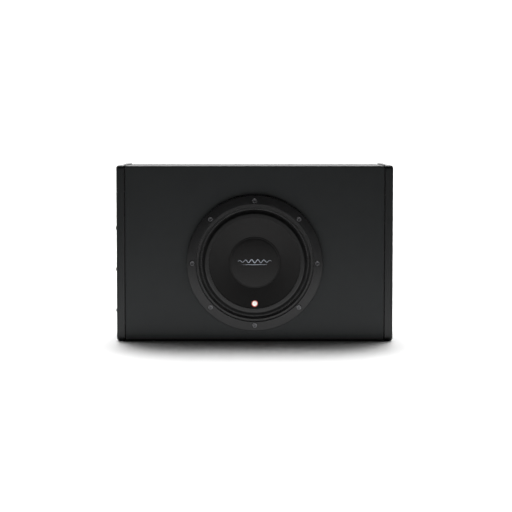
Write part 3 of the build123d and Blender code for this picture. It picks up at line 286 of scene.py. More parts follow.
finishes["coil_wire"] = coiled("coil_wire", {"axis": 1, "pitch": 0.0004, "dark": (0.46, 0.18, 0.07),
                                            "light": (0.74, 0.36, 0.18)})


def circuitGreen():
    # Solder mask over copper tracks, with a few drilled pads
    p = Paint("board_green", IOR=1.5)
    y, z = p.parts()[1], p.parts()[2]
    cells = p.node("ShaderNodeTexVoronoi", {"feature": "F1", "distance": "CHEBYCHEV"},
                   {"Vector": p.place, "Scale": 160.0})[0]
    tracks = (cells * 9.0).maths("FRACT", cells * 9.0) > 0.72
    pads = p.cells(0.006) < 0.16
    weave = (y * 2600.0).maths("SINE", y * 2600.0) * (z * 2600.0).maths("SINE", z * 2600.0)
    blots = p.noise(0.03)
    colour = p.mix(tracks, p.mix(blots, (0.010, 0.060, 0.024), (0.018, 0.085, 0.034)), (0.030, 0.150, 0.055))
    colour = p.mix(pads, colour, (0.62, 0.60, 0.54))
    return p.give(Base_Color=colour, Roughness=0.34 - tracks * 0.06 + blots * 0.1, Metallic=pads,
                  Normal=p.bump(tracks * 0.6 + weave * 0.15 + pads, 0.04 * mm))


finishes["board_green"] = circuitGreen()


def clearTint(name, look):  # tinted clear plastic: streaks inside and a slightly wavy face
    p = Paint(name, Transmission_Weight=look["clear"], IOR=1.49)
    blots = p.noise(0.004, 3.0)
    flow = p.noise(0.003, 2.0, p.stretched((1, 1, 4)))
    colour = p.mix(flow * 0.6 + blots * 0.4, look["dark"], look["light"])
    return p.give(Base_Color=colour, Roughness=look["rough"] + (blots - 0.5) * 0.12,
                  Normal=p.bump(flow, 0.03 * mm))


finishes["fuse_plastic"] = clearTint("fuse_plastic", {"clear": 0.55, "dark": (0.62, 0.28, 0.02),
                                                      "light": (0.90, 0.48, 0.05), "rough": 0.2})
finishes["light_lens"] = clearTint("light_lens", {"clear": 0.35, "dark": (0.16, 0.50, 0.24),
                                                  "light": (0.34, 0.80, 0.44), "rough": 0.35})


def ribbedRubber():
    # Rubber with a painted highlight: the outer wall of the roll is painted paler than the inner part; fine radial ribs
    # on the roll
    p = Paint("surround_rubber", Sheen_Weight=0.02, Specular_IOR_Level=0.17)
    angle, radius = p.polar()
    blots = p.noise(0.012, 4.0)
    fine = p.noise(0.0006, 2.0)
    colour = p.mix(blots * 0.6 + fine * 0.3, (0.0050, 0.0050, 0.0050), (0.0110, 0.0110, 0.0112))
    paintedWallHighlight = p.ramp(radius * 10.0, [(0.975, 0.0), (1.03, 1.0)])  # painted highlight: paler on the outer wall of the roll
    colour = p.mix(paintedWallHighlight, p.mix(fine, (0.0012, 0.0012, 0.0012), (0.0026, 0.0026, 0.0027)), colour)
    rings = (radius * 9000.0).maths("SINE", radius * 9000.0)
    return p.give(Base_Color=colour, Roughness=0.34 + (blots - 0.5) * 0.14 + fine * 0.06,
                  Normal=p.bump(fine * 0.7 + rings * 0.08, 0.04 * mm))


def pulpCone(name, dark, light, rough, streak):
    # Moulded cone skin: streaks that run out from the middle, over faint turned rings
    p = Paint(name, Specular_IOR_Level=0.11)
    angle, radius = p.polar()
    spread = p.node("ShaderNodeCombineXYZ", values={0: angle * streak, 1: radius * 30.0, 2: 0.0})[0]
    streaks = p.node("ShaderNodeTexNoise", values={"Vector": spread, "Scale": 1.0, "Detail": 3.0})[0]
    rings = p.node("ShaderNodeTexNoise", {"noise_dimensions": "1D"}, {"W": radius * 1400.0, "Detail": 2.0})[0]
    fine = p.noise(0.0008, 2.0)
    colour = p.mix(streaks * 0.5 + fine * 0.4, dark, light)
    return p.give(Base_Color=colour, Roughness=rough + (streaks - 0.5) * 0.16 + (fine - 0.5) * 0.08,
                  Normal=p.bump(streaks * 0.4 + rings * 0.3 + fine * 0.4, 0.05 * mm))


finishes["surround_rubber"] = ribbedRubber()
finishes["cone_poly"] = pulpCone("cone_poly", (0.0029, 0.0028, 0.0028), (0.0050, 0.0048, 0.0048), 0.66, 60.0)
finishes["cap_poly"] = pulpCone("cap_poly", (0.0032, 0.0031, 0.0031), (0.0056, 0.0054, 0.0054), 0.60, 8.0)


def wovenCloth():  # phenolic cloth: two sets of threads, browner in the valleys
    p = Paint("spider_cloth", Sheen_Weight=0.15)
    x, _, z = p.parts()
    warp, weft = (x * 5200.0).maths("SINE", x * 5200.0), (z * 5200.0).maths("SINE", z * 5200.0)
    over = (warp * weft) > 0.0
    height = over * warp * warp + (1 - over) * weft * weft
    blots = p.noise(0.01, 4.0)
    colour = p.mix(height * 0.5 + blots * 0.5, (0.34, 0.19, 0.06), (0.68, 0.46, 0.20))
    return p.give(Base_Color=colour, Roughness=0.78 + blots * 0.12, Normal=p.bump(height, 0.12 * mm))


def looseFibre():  # polyester wadding: short strands in all directions
    p = Paint("wadding", Sheen_Weight=0.35)
    first = p.noise(0.003, 6.0, p.stretched((1, 1, 0.12), turn=(0.5, 0.2, 0)), 0.7)
    second = p.noise(0.003, 6.0, p.stretched((0.12, 1, 1), turn=(0, 0.4, 0.7)), 0.7)
    blots = p.noise(0.04, 4.0)
    strands = first.maths("MAXIMUM", first, second)
    colour = p.mix(strands * 0.6 + blots * 0.4, (0.56, 0.55, 0.52), (0.84, 0.83, 0.79))
    return p.give(Base_Color=colour, Roughness=0.90 + (blots - 0.5) * 0.1, Normal=p.bump(strands, 0.8 * mm))


def braid():  # tinsel strands: a fine diagonal plait in the piece's own UV
    p = Paint("tinsel", Metallic=0.85)
    uv = p.node("ShaderNodeUVMap")[0]
    u, v, _ = p.parts(uv)
    left, right = (u * 40.0 + v * 240.0), (u * 40.0 - v * 240.0)
    plait = left.maths("SINE", left) * right.maths("SINE", right)
    blots = p.noise(0.002)
    colour = p.mix(plait * 0.5 + blots * 0.5, (0.42, 0.33, 0.20), (0.76, 0.64, 0.46))
    return p.give(Base_Color=colour, Roughness=0.35 + blots * 0.2, Normal=p.bump(plait, 0.1 * mm))


finishes["spider_cloth"] = wovenCloth()
finishes["wadding"] = looseFibre()
finishes["tinsel"] = braid()
finishes["winding"] = grained("winding", {"dark": (0.40, 0.15, 0.05), "light": (0.64, 0.30, 0.12), "rough": 0.3,
                                          "grain": 0.0005, "deep": 0.02, "metal": 0.9, "blot": 0.006})

for part in frame["record"]["subparts"]:
    finish = finishes[part["material_slot"]]
    mesh = nodes[part["node"]].data
    if not mesh.materials:
        nodes[part["node"]].data.materials.append(finish)
    for k in range(len(nodes[part["node"]].material_slots)):
        nodes[part["node"]].material_slots[k].material = finish


# Camera, backdrop and light
room = {"far": 3.222, "rise": 4.0, "lens": 115.0, "aim": 0.1685, "shift": (0.0025, -0.0122)}
camera = bpy.data.objects.new("camera", bpy.data.cameras.new("camera"))
bpy.context.collection.objects.link(camera)
tilt = math.radians(room["rise"])
camera.location = (0, -room["far"] * math.cos(tilt), room["aim"] + room["far"] * math.sin(tilt))
camera.rotation_euler = (math.pi / 2 - tilt, 0, 0)
camera.data.lens = room["lens"]
camera.data.shift_x, camera.data.shift_y = room["shift"]
camera.data.clip_end = 60.0
bpy.context.scene.camera = camera
bpy.context.scene.view_settings.view_transform = "Standard"


def lamp(name, place, aim, size, watts, colour=(1, 1, 1)):
    light = bpy.data.lights.new(name, "AREA")
    light.shape, light.size, light.size_y = "RECTANGLE", size[0], size[1]
    light.energy, light.color = watts, colour
    made = bpy.data.objects.new(name, light)
    made.location = place
    made.rotation_euler = (Vector(aim) - Vector(place)).to_track_quat("-Z", "Y").to_euler()
    bpy.context.collection.objects.link(made)
    made.visible_camera = False
    return made


lamp("lowGlow", (-0.02, -0.31, 0.038), (-0.02, -0.14, 1.0), (0.8, 0.38), 2.7)  # the pale floor's bounce, from below
lamp("rimStrip", (0, -0.28, 1.5), (0, -0.11, 0.2), (0.9, 0.12), 0.1)

world = bpy.data.worlds.new("studio")
bpy.context.scene.world = world
world.use_nodes = True
sky = Board(world.node_tree)
sky.tree.nodes.clear()
direction = sky.node("ShaderNodeTexCoord")["Generated"]
split = sky.node("ShaderNodeSeparateXYZ", values={0: direction})
back = sky.node("ShaderNodeMapRange", {"interpolation_type": "SMOOTHSTEP"},
                {0: split[1], 1: 0.0, 2: 0.35, 3: 0.008, 4: 1.15})[0]
lean = split[2] * 0.76 + split[1] * 0.65  # the softbox hangs above and behind
above = sky.node("ShaderNodeMapRange", {"interpolation_type": "SMOOTHSTEP"},
                 {0: lean, 1: 0.86, 2: 1.0, 3: 0.0, 4: 12.5})[0]
sky.node("ShaderNodeOutputWorld", values={0: sky.node("ShaderNodeBackground",
                                                      values={0: (1, 1, 1, 1), 1: back + above})[0]})

floorPaint = Paint("paleFloor", Specular_IOR_Level=0.2)
floorBlots = floorPaint.noise(0.4, 3.0)
floorPaint.give(Base_Color=floorPaint.mix(floorBlots, (0.93, 0.93, 0.93), (0.95, 0.95, 0.95)),
                Roughness=0.8 + floorBlots * 0.1)
floorMesh = bpy.data.meshes.new("floor")
floorMesh.from_pydata([(-14, -8, 0), (14, -8, 0), (14, 20, 0), (-14, 20, 0)], [], [(0, 1, 2, 3)])
floorMesh.materials.append(floorPaint.material)
floor = bpy.data.objects.new("floor", floorMesh)
bpy.context.collection.objects.link(floor)
print("studio ready")

class Recipe(Board):  # a geometry tree with named inputs, run by grow()
    def __init__(self, name, inputs):
        super().__init__(bpy.data.node_groups.new(name, "GeometryNodeTree"))
        face = self.tree.interface
        face.new_socket("Geometry", in_out="OUTPUT", socket_type="NodeSocketGeometry")
        for label, kind in {**inputs, "Finish": "Material"}.items():
            face.new_socket(label, in_out="INPUT", socket_type="NodeSocket" + kind)
        self.given = self.node("NodeGroupInput")

    def close(self, geometry):
        solid = self.node("GeometryNodeRealizeInstances", values={0: geometry})[0]
        painted = self.node("GeometryNodeSetMaterial", values={"Geometry": solid, "Material": self.given["Finish"]})[0]
        self.node("NodeGroupOutput", values={0: painted})
        return self

    def point(self, x, y, z):
        return self.node("ShaderNodeCombineXYZ", values={0: x, 1: y, 2: z})[0]


def placing(origin, right, up=(0, 0, 1)):
    # local X along right, local Y along up, local Z out of the face
    right, up = Vector(right), Vector(up)
    turn = Matrix((right, up, right.cross(up))).transposed().to_4x4()
    return Matrix.Translation(Vector(origin)) @ turn


def link(name, mesh, finish=None, smooth=40):
    made = bpy.data.objects.new(name, mesh)
    bpy.context.collection.objects.link(made)
    if finish:
        mesh.materials.clear()
        mesh.materials.append(finishes[finish])
    mesh.shade_smooth()
    mesh.set_sharp_from_angle(angle=math.radians(smooth))
    return made


def bake(made):  # applies the modifiers and leaves a plain mesh
    bpy.context.view_layer.update()
    mesh = bpy.data.meshes.new_from_object(made.evaluated_get(bpy.context.evaluated_depsgraph_get()))
    made.modifiers.clear()
    made.data = mesh
    return made


def grow(name, recipe, settings, finish, place=None, smooth=40):
    seed = bpy.data.objects.new(name + "Seed", bpy.data.meshes.new(name + "Seed"))
    bpy.context.collection.objects.link(seed)
    run = seed.modifiers.new("grow", "NODES")
    run.node_group = recipe.tree
    wanted = {**settings, "Finish": finishes[finish]}
    for socket in recipe.tree.interface.items_tree:
        if socket.in_out == "INPUT" and socket.name in wanted:
            run[socket.identifier] = wanted[socket.name]
    bpy.context.view_layer.update()
    mesh = bpy.data.meshes.new_from_object(seed.evaluated_get(bpy.context.evaluated_depsgraph_get()))
    bpy.data.objects.remove(seed)
    if place:
        mesh.transform(place)
    return link(name, mesh, None, smooth)


def shape(points, faces, name="shape"):
    mesh = bpy.data.meshes.new(name)
    mesh.from_pydata(points, [], faces)
    work = bmesh.new()
    work.from_mesh(mesh)
    bmesh.ops.remove_doubles(work, verts=work.verts, dist=1e-7)
    bmesh.ops.dissolve_degenerate(work, edges=work.edges, dist=1e-7)
    bmesh.ops.recalc_face_normals(work, faces=work.faces)
    work.to_mesh(mesh)
    work.free()
    return mesh


def turned(profile, steps, reach=None, closed=False):
    # profile of (radius, height) turned about Z; reach(k, i, radius) may change the radius of point k at step i
    points, faces = [], []
    for i in range(steps):
        angle = math.tau * i / steps
        for k, (radius, height) in enumerate(profile):
            r = reach(k, angle, radius) if reach else radius
            points.append((r * math.cos(angle), r * math.sin(angle), height))
    many = len(profile)
    for i in range(steps):
        a, b = i * many, (i + 1) % steps * many
        for k in range(many if closed else many - 1):
            j = (k + 1) % many
            faces.append((a + k, a + j, b + j, b + k))
    return shape(points, faces)


driverPlace = placing((driverX, baffleY, driverZ), (1, 0, 0))


def depthPoints(pairs):  # (radius, depth) in millimetres to (radius, height) in metres
    return [(radius * mm, -depth * mm) for radius, depth in pairs]


def driverShape(name, pairs, finish, steps=160, closed=True, smooth=40):
    mesh = turned(depthPoints(pairs), steps, closed=closed)
    mesh.transform(driverPlace)
    return link(name, mesh, finish, smooth)


def radialBlend(made, start, end):
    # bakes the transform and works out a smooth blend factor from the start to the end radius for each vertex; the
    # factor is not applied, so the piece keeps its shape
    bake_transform(made)
    for vertex in made.data.vertices:
        radius = math.hypot(vertex.co.x - driverX, vertex.co.z - driverZ)
        t = min(1.0, max(0.0, (radius - start) / (end - start)))
        t * t * (3 - 2 * t)


# Rolled skins: the surround and the spider are one ring of cloth or rubber with rolls across it
skin = Recipe("rolledSkin", {"Inner": "Float", "Outer": "Float", "Roll Start": "Float", "Roll End": "Float",
                             "Half Waves": "Float", "Skew": "Float", "Dip": "Float", "Step": "Float", "Ribs": "Float",
                             "Rib Height": "Float", "Around": "Int", "Across": "Int"})
g = skin.given
sheet = skin.node("GeometryNodeMeshGrid", values={"Size X": 1.0, "Size Y": 1.0, "Vertices X": g["Around"],
                                                  "Vertices Y": g["Across"]})[0]
flat = skin.node("ShaderNodeSeparateXYZ", values={0: skin.node("GeometryNodeInputPosition")[0]})
angle = flat[0] * math.tau
radius = g["Inner"] + (g["Outer"] - g["Inner"]) * (flat[1] + 0.5)
along = (radius - g["Roll Start"]) / (g["Roll End"] - g["Roll Start"])
along = along.maths("MAXIMUM", along.maths("MINIMUM", along, 1.0), 0.0)
wave = along ** g["Skew"] * g["Half Waves"] * math.pi
ribWindow = (along - 0.42).maths("MAXIMUM", along - 0.42, 0.0) * (1 - along) * 11.0
rib = (angle * g["Ribs"]).maths("SINE", angle * g["Ribs"]) * ribWindow * g["Rib Height"]
height = wave.maths("SINE", wave) * g["Dip"] * -1.0 + rib + along * g["Step"]
place = skin.point(angle.maths("COSINE", angle) * radius, angle.maths("SINE", angle) * radius, height)
bent = skin.node("GeometryNodeSetPosition", values={"Geometry": sheet, "Position": place})[0]
joined = skin.node("GeometryNodeMergeByDistance", values={"Geometry": bent, "Distance": 1e-6})[0]
skin.close(skin.node("GeometryNodeFlipFaces", values={0: joined})[0])


def thicken(made, depth, bevel=0.0):
    wall = made.modifiers.new("wall", "SOLIDIFY")
    wall.thickness, wall.offset = depth, -1.0
    if bevel:
        edge = made.modifiers.new("edge", "BEVEL")
        edge.width, edge.segments, edge.limit_method, edge.angle_limit = bevel, 2, "ANGLE", math.radians(50)
    bake(made)
    made.data.shade_smooth()
    made.data.set_sharp_from_angle(angle=math.radians(50))


rollSizes = {"lip": 87.6, "start": 93.5, "end": 107.2, "foot": 115.4, "dip": 5.9, "wall": 1.15,
             "ribs": 190.0, "ribHeight": 0.5, "lipDepth": -4.4, "footDepth": -4.7}
surround = grow("surroundRoll", skin, {
    "Inner": rollSizes["lip"] * mm, "Outer": rollSizes["foot"] * mm, "Roll Start": rollSizes["start"] * mm,
    "Roll End": rollSizes["end"] * mm, "Half Waves": 1.0, "Skew": 1.5, "Dip": rollSizes["dip"] * mm,
    "Step": (rollSizes["lipDepth"] - rollSizes["footDepth"]) * mm, "Ribs": rollSizes["ribs"],
    "Rib Height": rollSizes["ribHeight"] * mm, "Around": 1141, "Across": 46}, "surround_rubber",
    driverPlace @ Matrix.Translation((0, 0, -rollSizes["lipDepth"] * mm)))
thicken(surround, rollSizes["wall"] * mm)
radialBlend(surround, rollSizes["start"] * mm, rollSizes["end"] * mm)
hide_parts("surround")

clothSizes = {"neck": 25.6, "start": 28.5, "end": 66.0, "foot": 71.9, "dip": 1.35, "wall": 0.55, "depth": 46.05}
spider = grow("spiderCloth", skin, {
    "Inner": clothSizes["neck"] * mm, "Outer": clothSizes["foot"] * mm, "Roll Start": clothSizes["start"] * mm,
    "Roll End": clothSizes["end"] * mm, "Half Waves": 8.0, "Skew": 1.0, "Dip": clothSizes["dip"] * mm, "Step": 0.0,
    "Ribs": 0.0, "Rib Height": 0.0, "Around": 241, "Across": 110}, "spider_cloth",
    driverPlace @ Matrix.Translation((0, 0, -clothSizes["depth"] * mm)))
thicken(spider, clothSizes["wall"] * mm)
radialBlend(spider, clothSizes["start"] * mm, clothSizes["end"] * mm)
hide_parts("spider")
print("surround and spider rolled")


# Cone and dust cap
coneSizes = {"lip": 92.0, "slope": 87.0, "neck": 25.5, "lipDepth": -3.2, "neckDepth": 16.0, "wall": 1.2,
             "sag": 0.5, "capRim": 49.0, "capRise": 6.0, "capWall": 0.8}
slopeRate = (coneSizes["neckDepth"] - coneSizes["lipDepth"]) / (coneSizes["slope"] - coneSizes["neck"])


def coneDepth(radius):
    s = coneSizes
    t = (s["slope"] - radius) / (s["slope"] - s["neck"])
    return s["lipDepth"] + (s["slope"] - radius) * slopeRate - s["sag"] * math.sin(math.pi * t)


s = coneSizes
fromLip = [s["slope"] - (s["slope"] - s["neck"]) * k / 40 for k in range(41)]
front = [(s["lip"], s["lipDepth"] + 0.3), (s["lip"] - 0.3, s["lipDepth"]), (s["slope"] + 0.9, s["lipDepth"]),
         (s["slope"] + 0.3, s["lipDepth"] - 0.25)]  # glue bead along the rubber's edge
front += [(r, coneDepth(r) + (0.0 if r < 86 else -0.1)) for r in fromLip]
neck = [(s["neck"], 20.5), (s["neck"] + 1.2, 20.5)]
rear = [(r + 0.2, coneDepth(r) + s["wall"] * 1.05) for r in reversed(fromLip[:-2])] + [(s["lip"], s["lipDepth"] + 1.2)]
cone = driverShape("coneShell", front + neck + rear, "cone_poly", 192)
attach(cone, "cone_assembly")
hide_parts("cone")


def capDepth(radius):  # outer face of the dust cap: a low dome that flattens into its glued rim
    s = coneSizes
    t = min(1.0, radius / s["capRim"])
    return coneDepth(s["capRim"]) - s["capRise"] * (1 - t * t) ** 0.6


steps = [49.0 * k / 48 for k in range(49)]
outside = [(r, capDepth(r) + (0.45 if 45.6 < r < 47.2 else 0.0)) for r in steps if r < 47.6]
rim = [(47.9, capDepth(47.9) - 0.25), (48.6, capDepth(48.6) - 0.35), (49.0, coneDepth(49.0) - 0.1)]
under = [(48.0, coneDepth(48.0) - 0.02)] + [(r, capDepth(r) + s["capWall"]) for r in reversed(steps) if r < 46.5]
dustCap = driverShape("dustCapDome", outside + rim + under, "cap_poly", 160, closed=False)
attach(dustCap, "cone_assembly")
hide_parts("dust_cap")


def printInk(name, dark, light, rough, metal=0.0):
    p = Paint(name, IOR=1.5, Metallic=metal)
    blots = p.noise(0.004, 3.0)
    fine = p.noise(0.0004, 2.0)
    finishes[name] = p.give(Base_Color=p.mix(blots * 0.6 + fine * 0.4, dark, light), Roughness=rough + (blots - 0.5) * 0.15,
                            Normal=p.bump(fine, 0.01 * mm))


printInk("paleInk", (0.17, 0.19, 0.22), (0.27, 0.29, 0.33), 0.45)
printInk("panelInk", (0.48, 0.48, 0.48), (0.62, 0.62, 0.62), 0.5)
printInk("badgeRed", (0.42, 0.05, 0.03), (0.56, 0.09, 0.06), 0.3)
printInk("badgeWhite", (0.70, 0.69, 0.66), (0.82, 0.81, 0.79), 0.28)


def ribbon(name, track, width, depthAt, finish, thick=0.18):
    # a thin raised stripe along (x, z) points on a domed face, in millimetres about the driver's axis
    points, faces, count = [], [], len(track)
    for i, (x, z) in enumerate(track):
        before, after = track[max(0, i - 1)], track[min(count - 1, i + 1)]
        way = Vector((after[0] - before[0], after[1] - before[1])).normalized()
        half = width(i / (count - 1)) / 2
        for side in (-1, 1):
            px, pz = x - way.y * half * side, z + way.x * half * side
            deep = depthAt(math.hypot(px, pz))
            for lift in (0.06, -thick):
                points.append((driverX + px * mm, baffleY + (deep + lift) * mm, driverZ + pz * mm))
    for i in range(count - 1):
        a, b = i * 4, i * 4 + 4
        faces += [(a + 1, b + 1, b + 3, a + 3), (a, a + 2, b + 2, b), (a, b, b + 1, a + 1), (a + 2, a + 3, b + 3, b + 2)]
    faces += [(0, 1, 3, 2), (count * 4 - 4, count * 4 - 2, count * 4 - 1, count * 4 - 3)]
    return link(name, shape(points, faces), finish)


waveSizes = {"length": 64.0, "swing": 3.2, "turns": 5.5, "height": 3.0, "stroke": 1.15}
w = waveSizes
track = [(-w["length"] / 2 + w["length"] * k / 180,
          w["height"] + w["swing"] * math.sin(k / 180 * w["turns"] * math.tau) * (0.35 + 0.65 * math.sin(math.pi * k / 180)))
         for k in range(181)]
mark = ribbon("waveStripe", track, lambda t: w["stroke"] * (0.35 + 0.65 * math.sin(math.pi * t)), capDepth, "paleInk")
line = ribbon("underStripe", [(-24 + 48 * k / 40, -3.6) for k in range(41)],
              lambda t: 0.2 + 0.5 * math.sin(math.pi * t), capDepth, "paleInk")
for piece in (mark, line):
    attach(piece, "cone_assembly")

badgeSizes = {"radius": 6.1, "down": 78.0, "thick": 0.9}
b = badgeSizes
badgeAt = Vector((driverX, baffleY + coneDepth(b["down"]) * mm, driverZ - b["down"] * mm))
badgeTilt = math.atan(slopeRate)
badgeTurn = Matrix.Translation(badgeAt) @ Matrix.Rotation(math.pi / 2 - badgeTilt, 4, "X")
for name, finish, outline in (
        ("badgeRim", "badgeRed", [(0, 0.2), (b["radius"], 0.2), (b["radius"], 0.7), (b["radius"] - 0.3, 1.0),
                                  (b["radius"] - 1.0, 1.0), (b["radius"] - 1.3, 0.7), (0, 0.7)]),
        ("badgeFace", "badgeWhite", [(0, 0.6), (b["radius"] - 1.35, 0.6), (b["radius"] - 1.35, 0.8), (3.0, 1.0), (0, 1.05)])):
    mesh = turned([(r * mm, h * mm) for r, h in outline], 64)
    mesh.transform(badgeTurn)
    badge = link(name, mesh, finish)
    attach(badge, "cone_assembly")
print("cone, dust cap and marks ready")


# Screws: one recipe puts copies round a circle, the other on a grid
ring = Recipe("copiesRound", {"Shape": "Object", "Count": "Int", "Radius": "Float", "Start": "Float",
                              "Sweep": "Float", "Spin": "Float", "Seed": "Int"})
g = ring.given
dots = ring.node("GeometryNodeMeshLine", values={"Count": g["Count"]})[0]
turn = g["Start"] + g["Sweep"] * ring.node("GeometryNodeInputIndex")[0] / g["Count"]
around = ring.point(turn.maths("COSINE", turn) * g["Radius"], turn.maths("SINE", turn) * g["Radius"], 0.0)
dots = ring.node("GeometryNodeSetPosition", values={"Geometry": dots, "Position": around})[0]
chance = ring.node("FunctionNodeRandomValue", {"data_type": "FLOAT"}, {"Seed": g["Seed"]})[1]
face = ring.node("FunctionNodeEulerToRotation", values={0: ring.point(0.0, 0.0, turn + chance * g["Spin"])})[0]
copied = ring.node("GeometryNodeObjectInfo", {"transform_space": "ORIGINAL"}, {"Object": g["Shape"]})["Geometry"]
ring.close(ring.node("GeometryNodeInstanceOnPoints", values={"Points": dots, "Instance": copied, "Rotation": face})[0])

grid = Recipe("copiesOnGrid", {"Shape": "Object", "Columns": "Int", "Rows": "Int", "Width": "Float",
                               "Height": "Float", "Spin": "Float", "Seed": "Int"})
g = grid.given
dots = grid.node("GeometryNodeMeshGrid", values={"Size X": g["Width"], "Size Y": g["Height"],
                                                 "Vertices X": g["Columns"], "Vertices Y": g["Rows"]})[0]
chance = grid.node("FunctionNodeRandomValue", {"data_type": "FLOAT"}, {"Seed": g["Seed"]})[1]
face = grid.node("FunctionNodeEulerToRotation", values={0: grid.point(0.0, 0.0, chance * g["Spin"])})[0]
copied = grid.node("GeometryNodeObjectInfo", {"transform_space": "ORIGINAL"}, {"Object": g["Shape"]})["Geometry"]
grid.close(grid.node("GeometryNodeInstanceOnPoints", values={"Points": dots, "Instance": copied, "Rotation": face})[0])


def sample(mesh):  # an original for a recipe to copy; drop() removes it afterwards
    made = bpy.data.objects.new("sample", mesh)
    bpy.context.collection.objects.link(made)
    return made


def drop(*originals):
    for made in originals:
        bpy.data.objects.remove(made)


screwLow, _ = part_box("driver_screws")
headSizes = {"circle": 119.0, "head": 4.8, "tall": 2.6, "socket": 2.5, "deep": 2.3, "shank": 2.4, "length": 21.4}
h = headSizes


def hexReach(k, angle, radius):  # the socket's points follow a hexagon
    if k < 6:
        return radius
    off = (angle % (math.pi / 3)) - math.pi / 6
    return radius * math.cos(math.pi / 6) / math.cos(off)


outline = [(0.0, -h["length"]), (h["shank"], -h["length"] + 0.6), (h["shank"], 0.0), (h["head"], 0.0),
           (h["head"], h["tall"] - 0.9), (h["head"] - 0.7, h["tall"]), (h["socket"] + 0.35, h["tall"]),
           (h["socket"], h["tall"] - 0.25), (h["socket"], h["tall"] - h["deep"]), (0.0, h["tall"] - h["deep"] - 0.3)]
head = sample(turned([(r * mm, z * mm) for r, z in outline], 36, hexReach))
seat = screwLow.y + h["tall"] * mm
screws = grow("driverScrews", ring, {"Shape": head, "Count": 8, "Radius": h["circle"] * mm, "Start": 0.0,
                                     "Sweep": math.tau, "Spin": math.tau, "Seed": 4}, "bright_screw",
              placing((driverX, seat, driverZ), (1, 0, 0)), 30)
# a ring of brighter metal on the edge of each screw head, a painted highlight
loop = sample(turned([((3.75 + 0.5 * math.cos(math.tau * k / 8)) * mm, (h["tall"] - 0.45 + 0.5 * math.sin(math.tau * k / 8)) * mm)
                      for k in range(8)], 36, closed=True))
rimHighlights = grow("driverScrewRims", ring, {"Shape": loop, "Count": 8, "Radius": h["circle"] * mm, "Start": 0.0,
                                      "Sweep": math.tau, "Spin": 0.0, "Seed": 4}, "rubbed_rim",
            placing((driverX, seat, driverZ), (1, 0, 0)), 60)  # painted highlight: brighter metal rings on the edges of the heads
drop(head, loop)
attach(rimHighlights, "enclosure")
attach(screws, "enclosure")
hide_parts("driver_screws")

panLow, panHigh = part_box("amp_plate_screws")
panSizes = {"head": 4.0, "tall": 2.4, "shank": 2.0, "cross": 2.0, "slot": 0.62, "deep": 1.4}
h = panSizes


def crossReach(k, angle, radius):  # the recess is a cross, wider at its mouth
    if k < 9:
        return radius
    off = min(abs(math.sin(angle)), abs(math.cos(angle)))
    return radius * min(1.0, h["slot"] / h["cross"] / max(off, 0.001) if off > 0.22 else 1.0)


length = (panHigh.x - panLow.x) / mm - h["tall"]
outline = [(0.0, -length), (h["shank"], -length + 0.8), (h["shank"], 0.0), (h["head"], 0.0), (h["head"], 0.8),
           (h["head"] - 0.25, 1.3), (h["head"] - 0.9, 1.85), (h["head"] - 1.6, 2.2), (h["cross"] + 0.05, h["tall"]),
           (h["cross"], h["tall"] - 0.05), (h["cross"] * 0.85, h["tall"] - h["deep"]), (0.0, h["tall"] - h["deep"] - 0.4)]
head = sample(turned([(r * mm, z * mm) for r, z in outline], 48, crossReach))
middle = (panLow + panHigh) / 2
screws = grow("plateScrews", grid, {"Shape": head, "Columns": 2, "Rows": 3,
                                    "Width": panHigh.y - panLow.y - 2 * h["head"] * mm,
                                    "Height": panHigh.z - panLow.z - 2 * h["head"] * mm,
                                    "Spin": math.pi / 2, "Seed": 7}, "black_screw",
              placing((panLow.x + h["tall"] * mm, middle.y, middle.z), (0, -1, 0)), 30)
drop(head)
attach(screws, "enclosure")
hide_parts("amp_plate_screws")
print("screws in place")


# Foam gaskets, with soft swollen edges
def roundedPath(halfY, halfZ, corner, curve=10):
    path = []
    for k, (sy, sz) in enumerate(((1, 1), (-1, 1), (-1, -1), (1, -1))):
        for i in range(curve + 1):
            turn = math.pi / 2 * (k + i / curve)
            path.append((sy * (halfY - corner) + corner * math.cos(turn), sz * (halfZ - corner) + corner * math.sin(turn)))
    return path


def circlePath(radius, count=120):
    return [(radius * math.cos(math.tau * i / count), radius * math.sin(math.tau * i / count)) for i in range(count)]


foamEdge = [(0.0, 0.3), (0.03, 0.06), (0.1, 0.0), (0.9, 0.0), (0.97, 0.06), (1.0, 0.3),
            (1.0, 0.7), (0.97, 0.94), (0.9, 1.0), (0.1, 1.0), (0.03, 0.94), (0.0, 0.7)]


def foamBand(name, node, outer, inner, thick, place):
    points, faces, many = [], [], len(foamEdge)
    for (ox, oy), (ix, iy) in zip(outer, inner):
        points += [(ox + (ix - ox) * u, oy + (iy - oy) * u, thick * v) for u, v in foamEdge]
    for i in range(len(outer)):
        a, b = i * many, (i + 1) % len(outer) * many
        faces += [(a + k, a + (k + 1) % many, b + (k + 1) % many, b + k) for k in range(many)]
    mesh = shape(points, faces)
    mesh.transform(place)
    made = link(name, mesh, "foam", 50)
    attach(made, "enclosure")
    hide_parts(node)


for node, band, corner in (("left_cap_gasket", (12.0, 12.0), 8.0), ("right_cap_gasket", (12.0, 12.0), 8.0),
                           ("amp_plate_gasket", (17.0, 8.0), 6.0)):
    low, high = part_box(node)
    centre, half = (low + high) / 2, (high - low) / 2
    foamBand(node.split("_")[0] + "FoamBand", node, roundedPath(half.y, half.z, corner * mm),
             roundedPath(half.y - band[0] * mm, half.z - band[1] * mm, 0.4 * mm), high.x - low.x,
             placing((high.x, centre.y, centre.z), (0, -1, 0)))
low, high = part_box("basket_gasket")
foamBand("basketFoamBand", "basket_gasket", circlePath(high.x), circlePath(112.0 * mm), high.y - low.y,
         placing((driverX, high.y, driverZ), (1, 0, 0)))


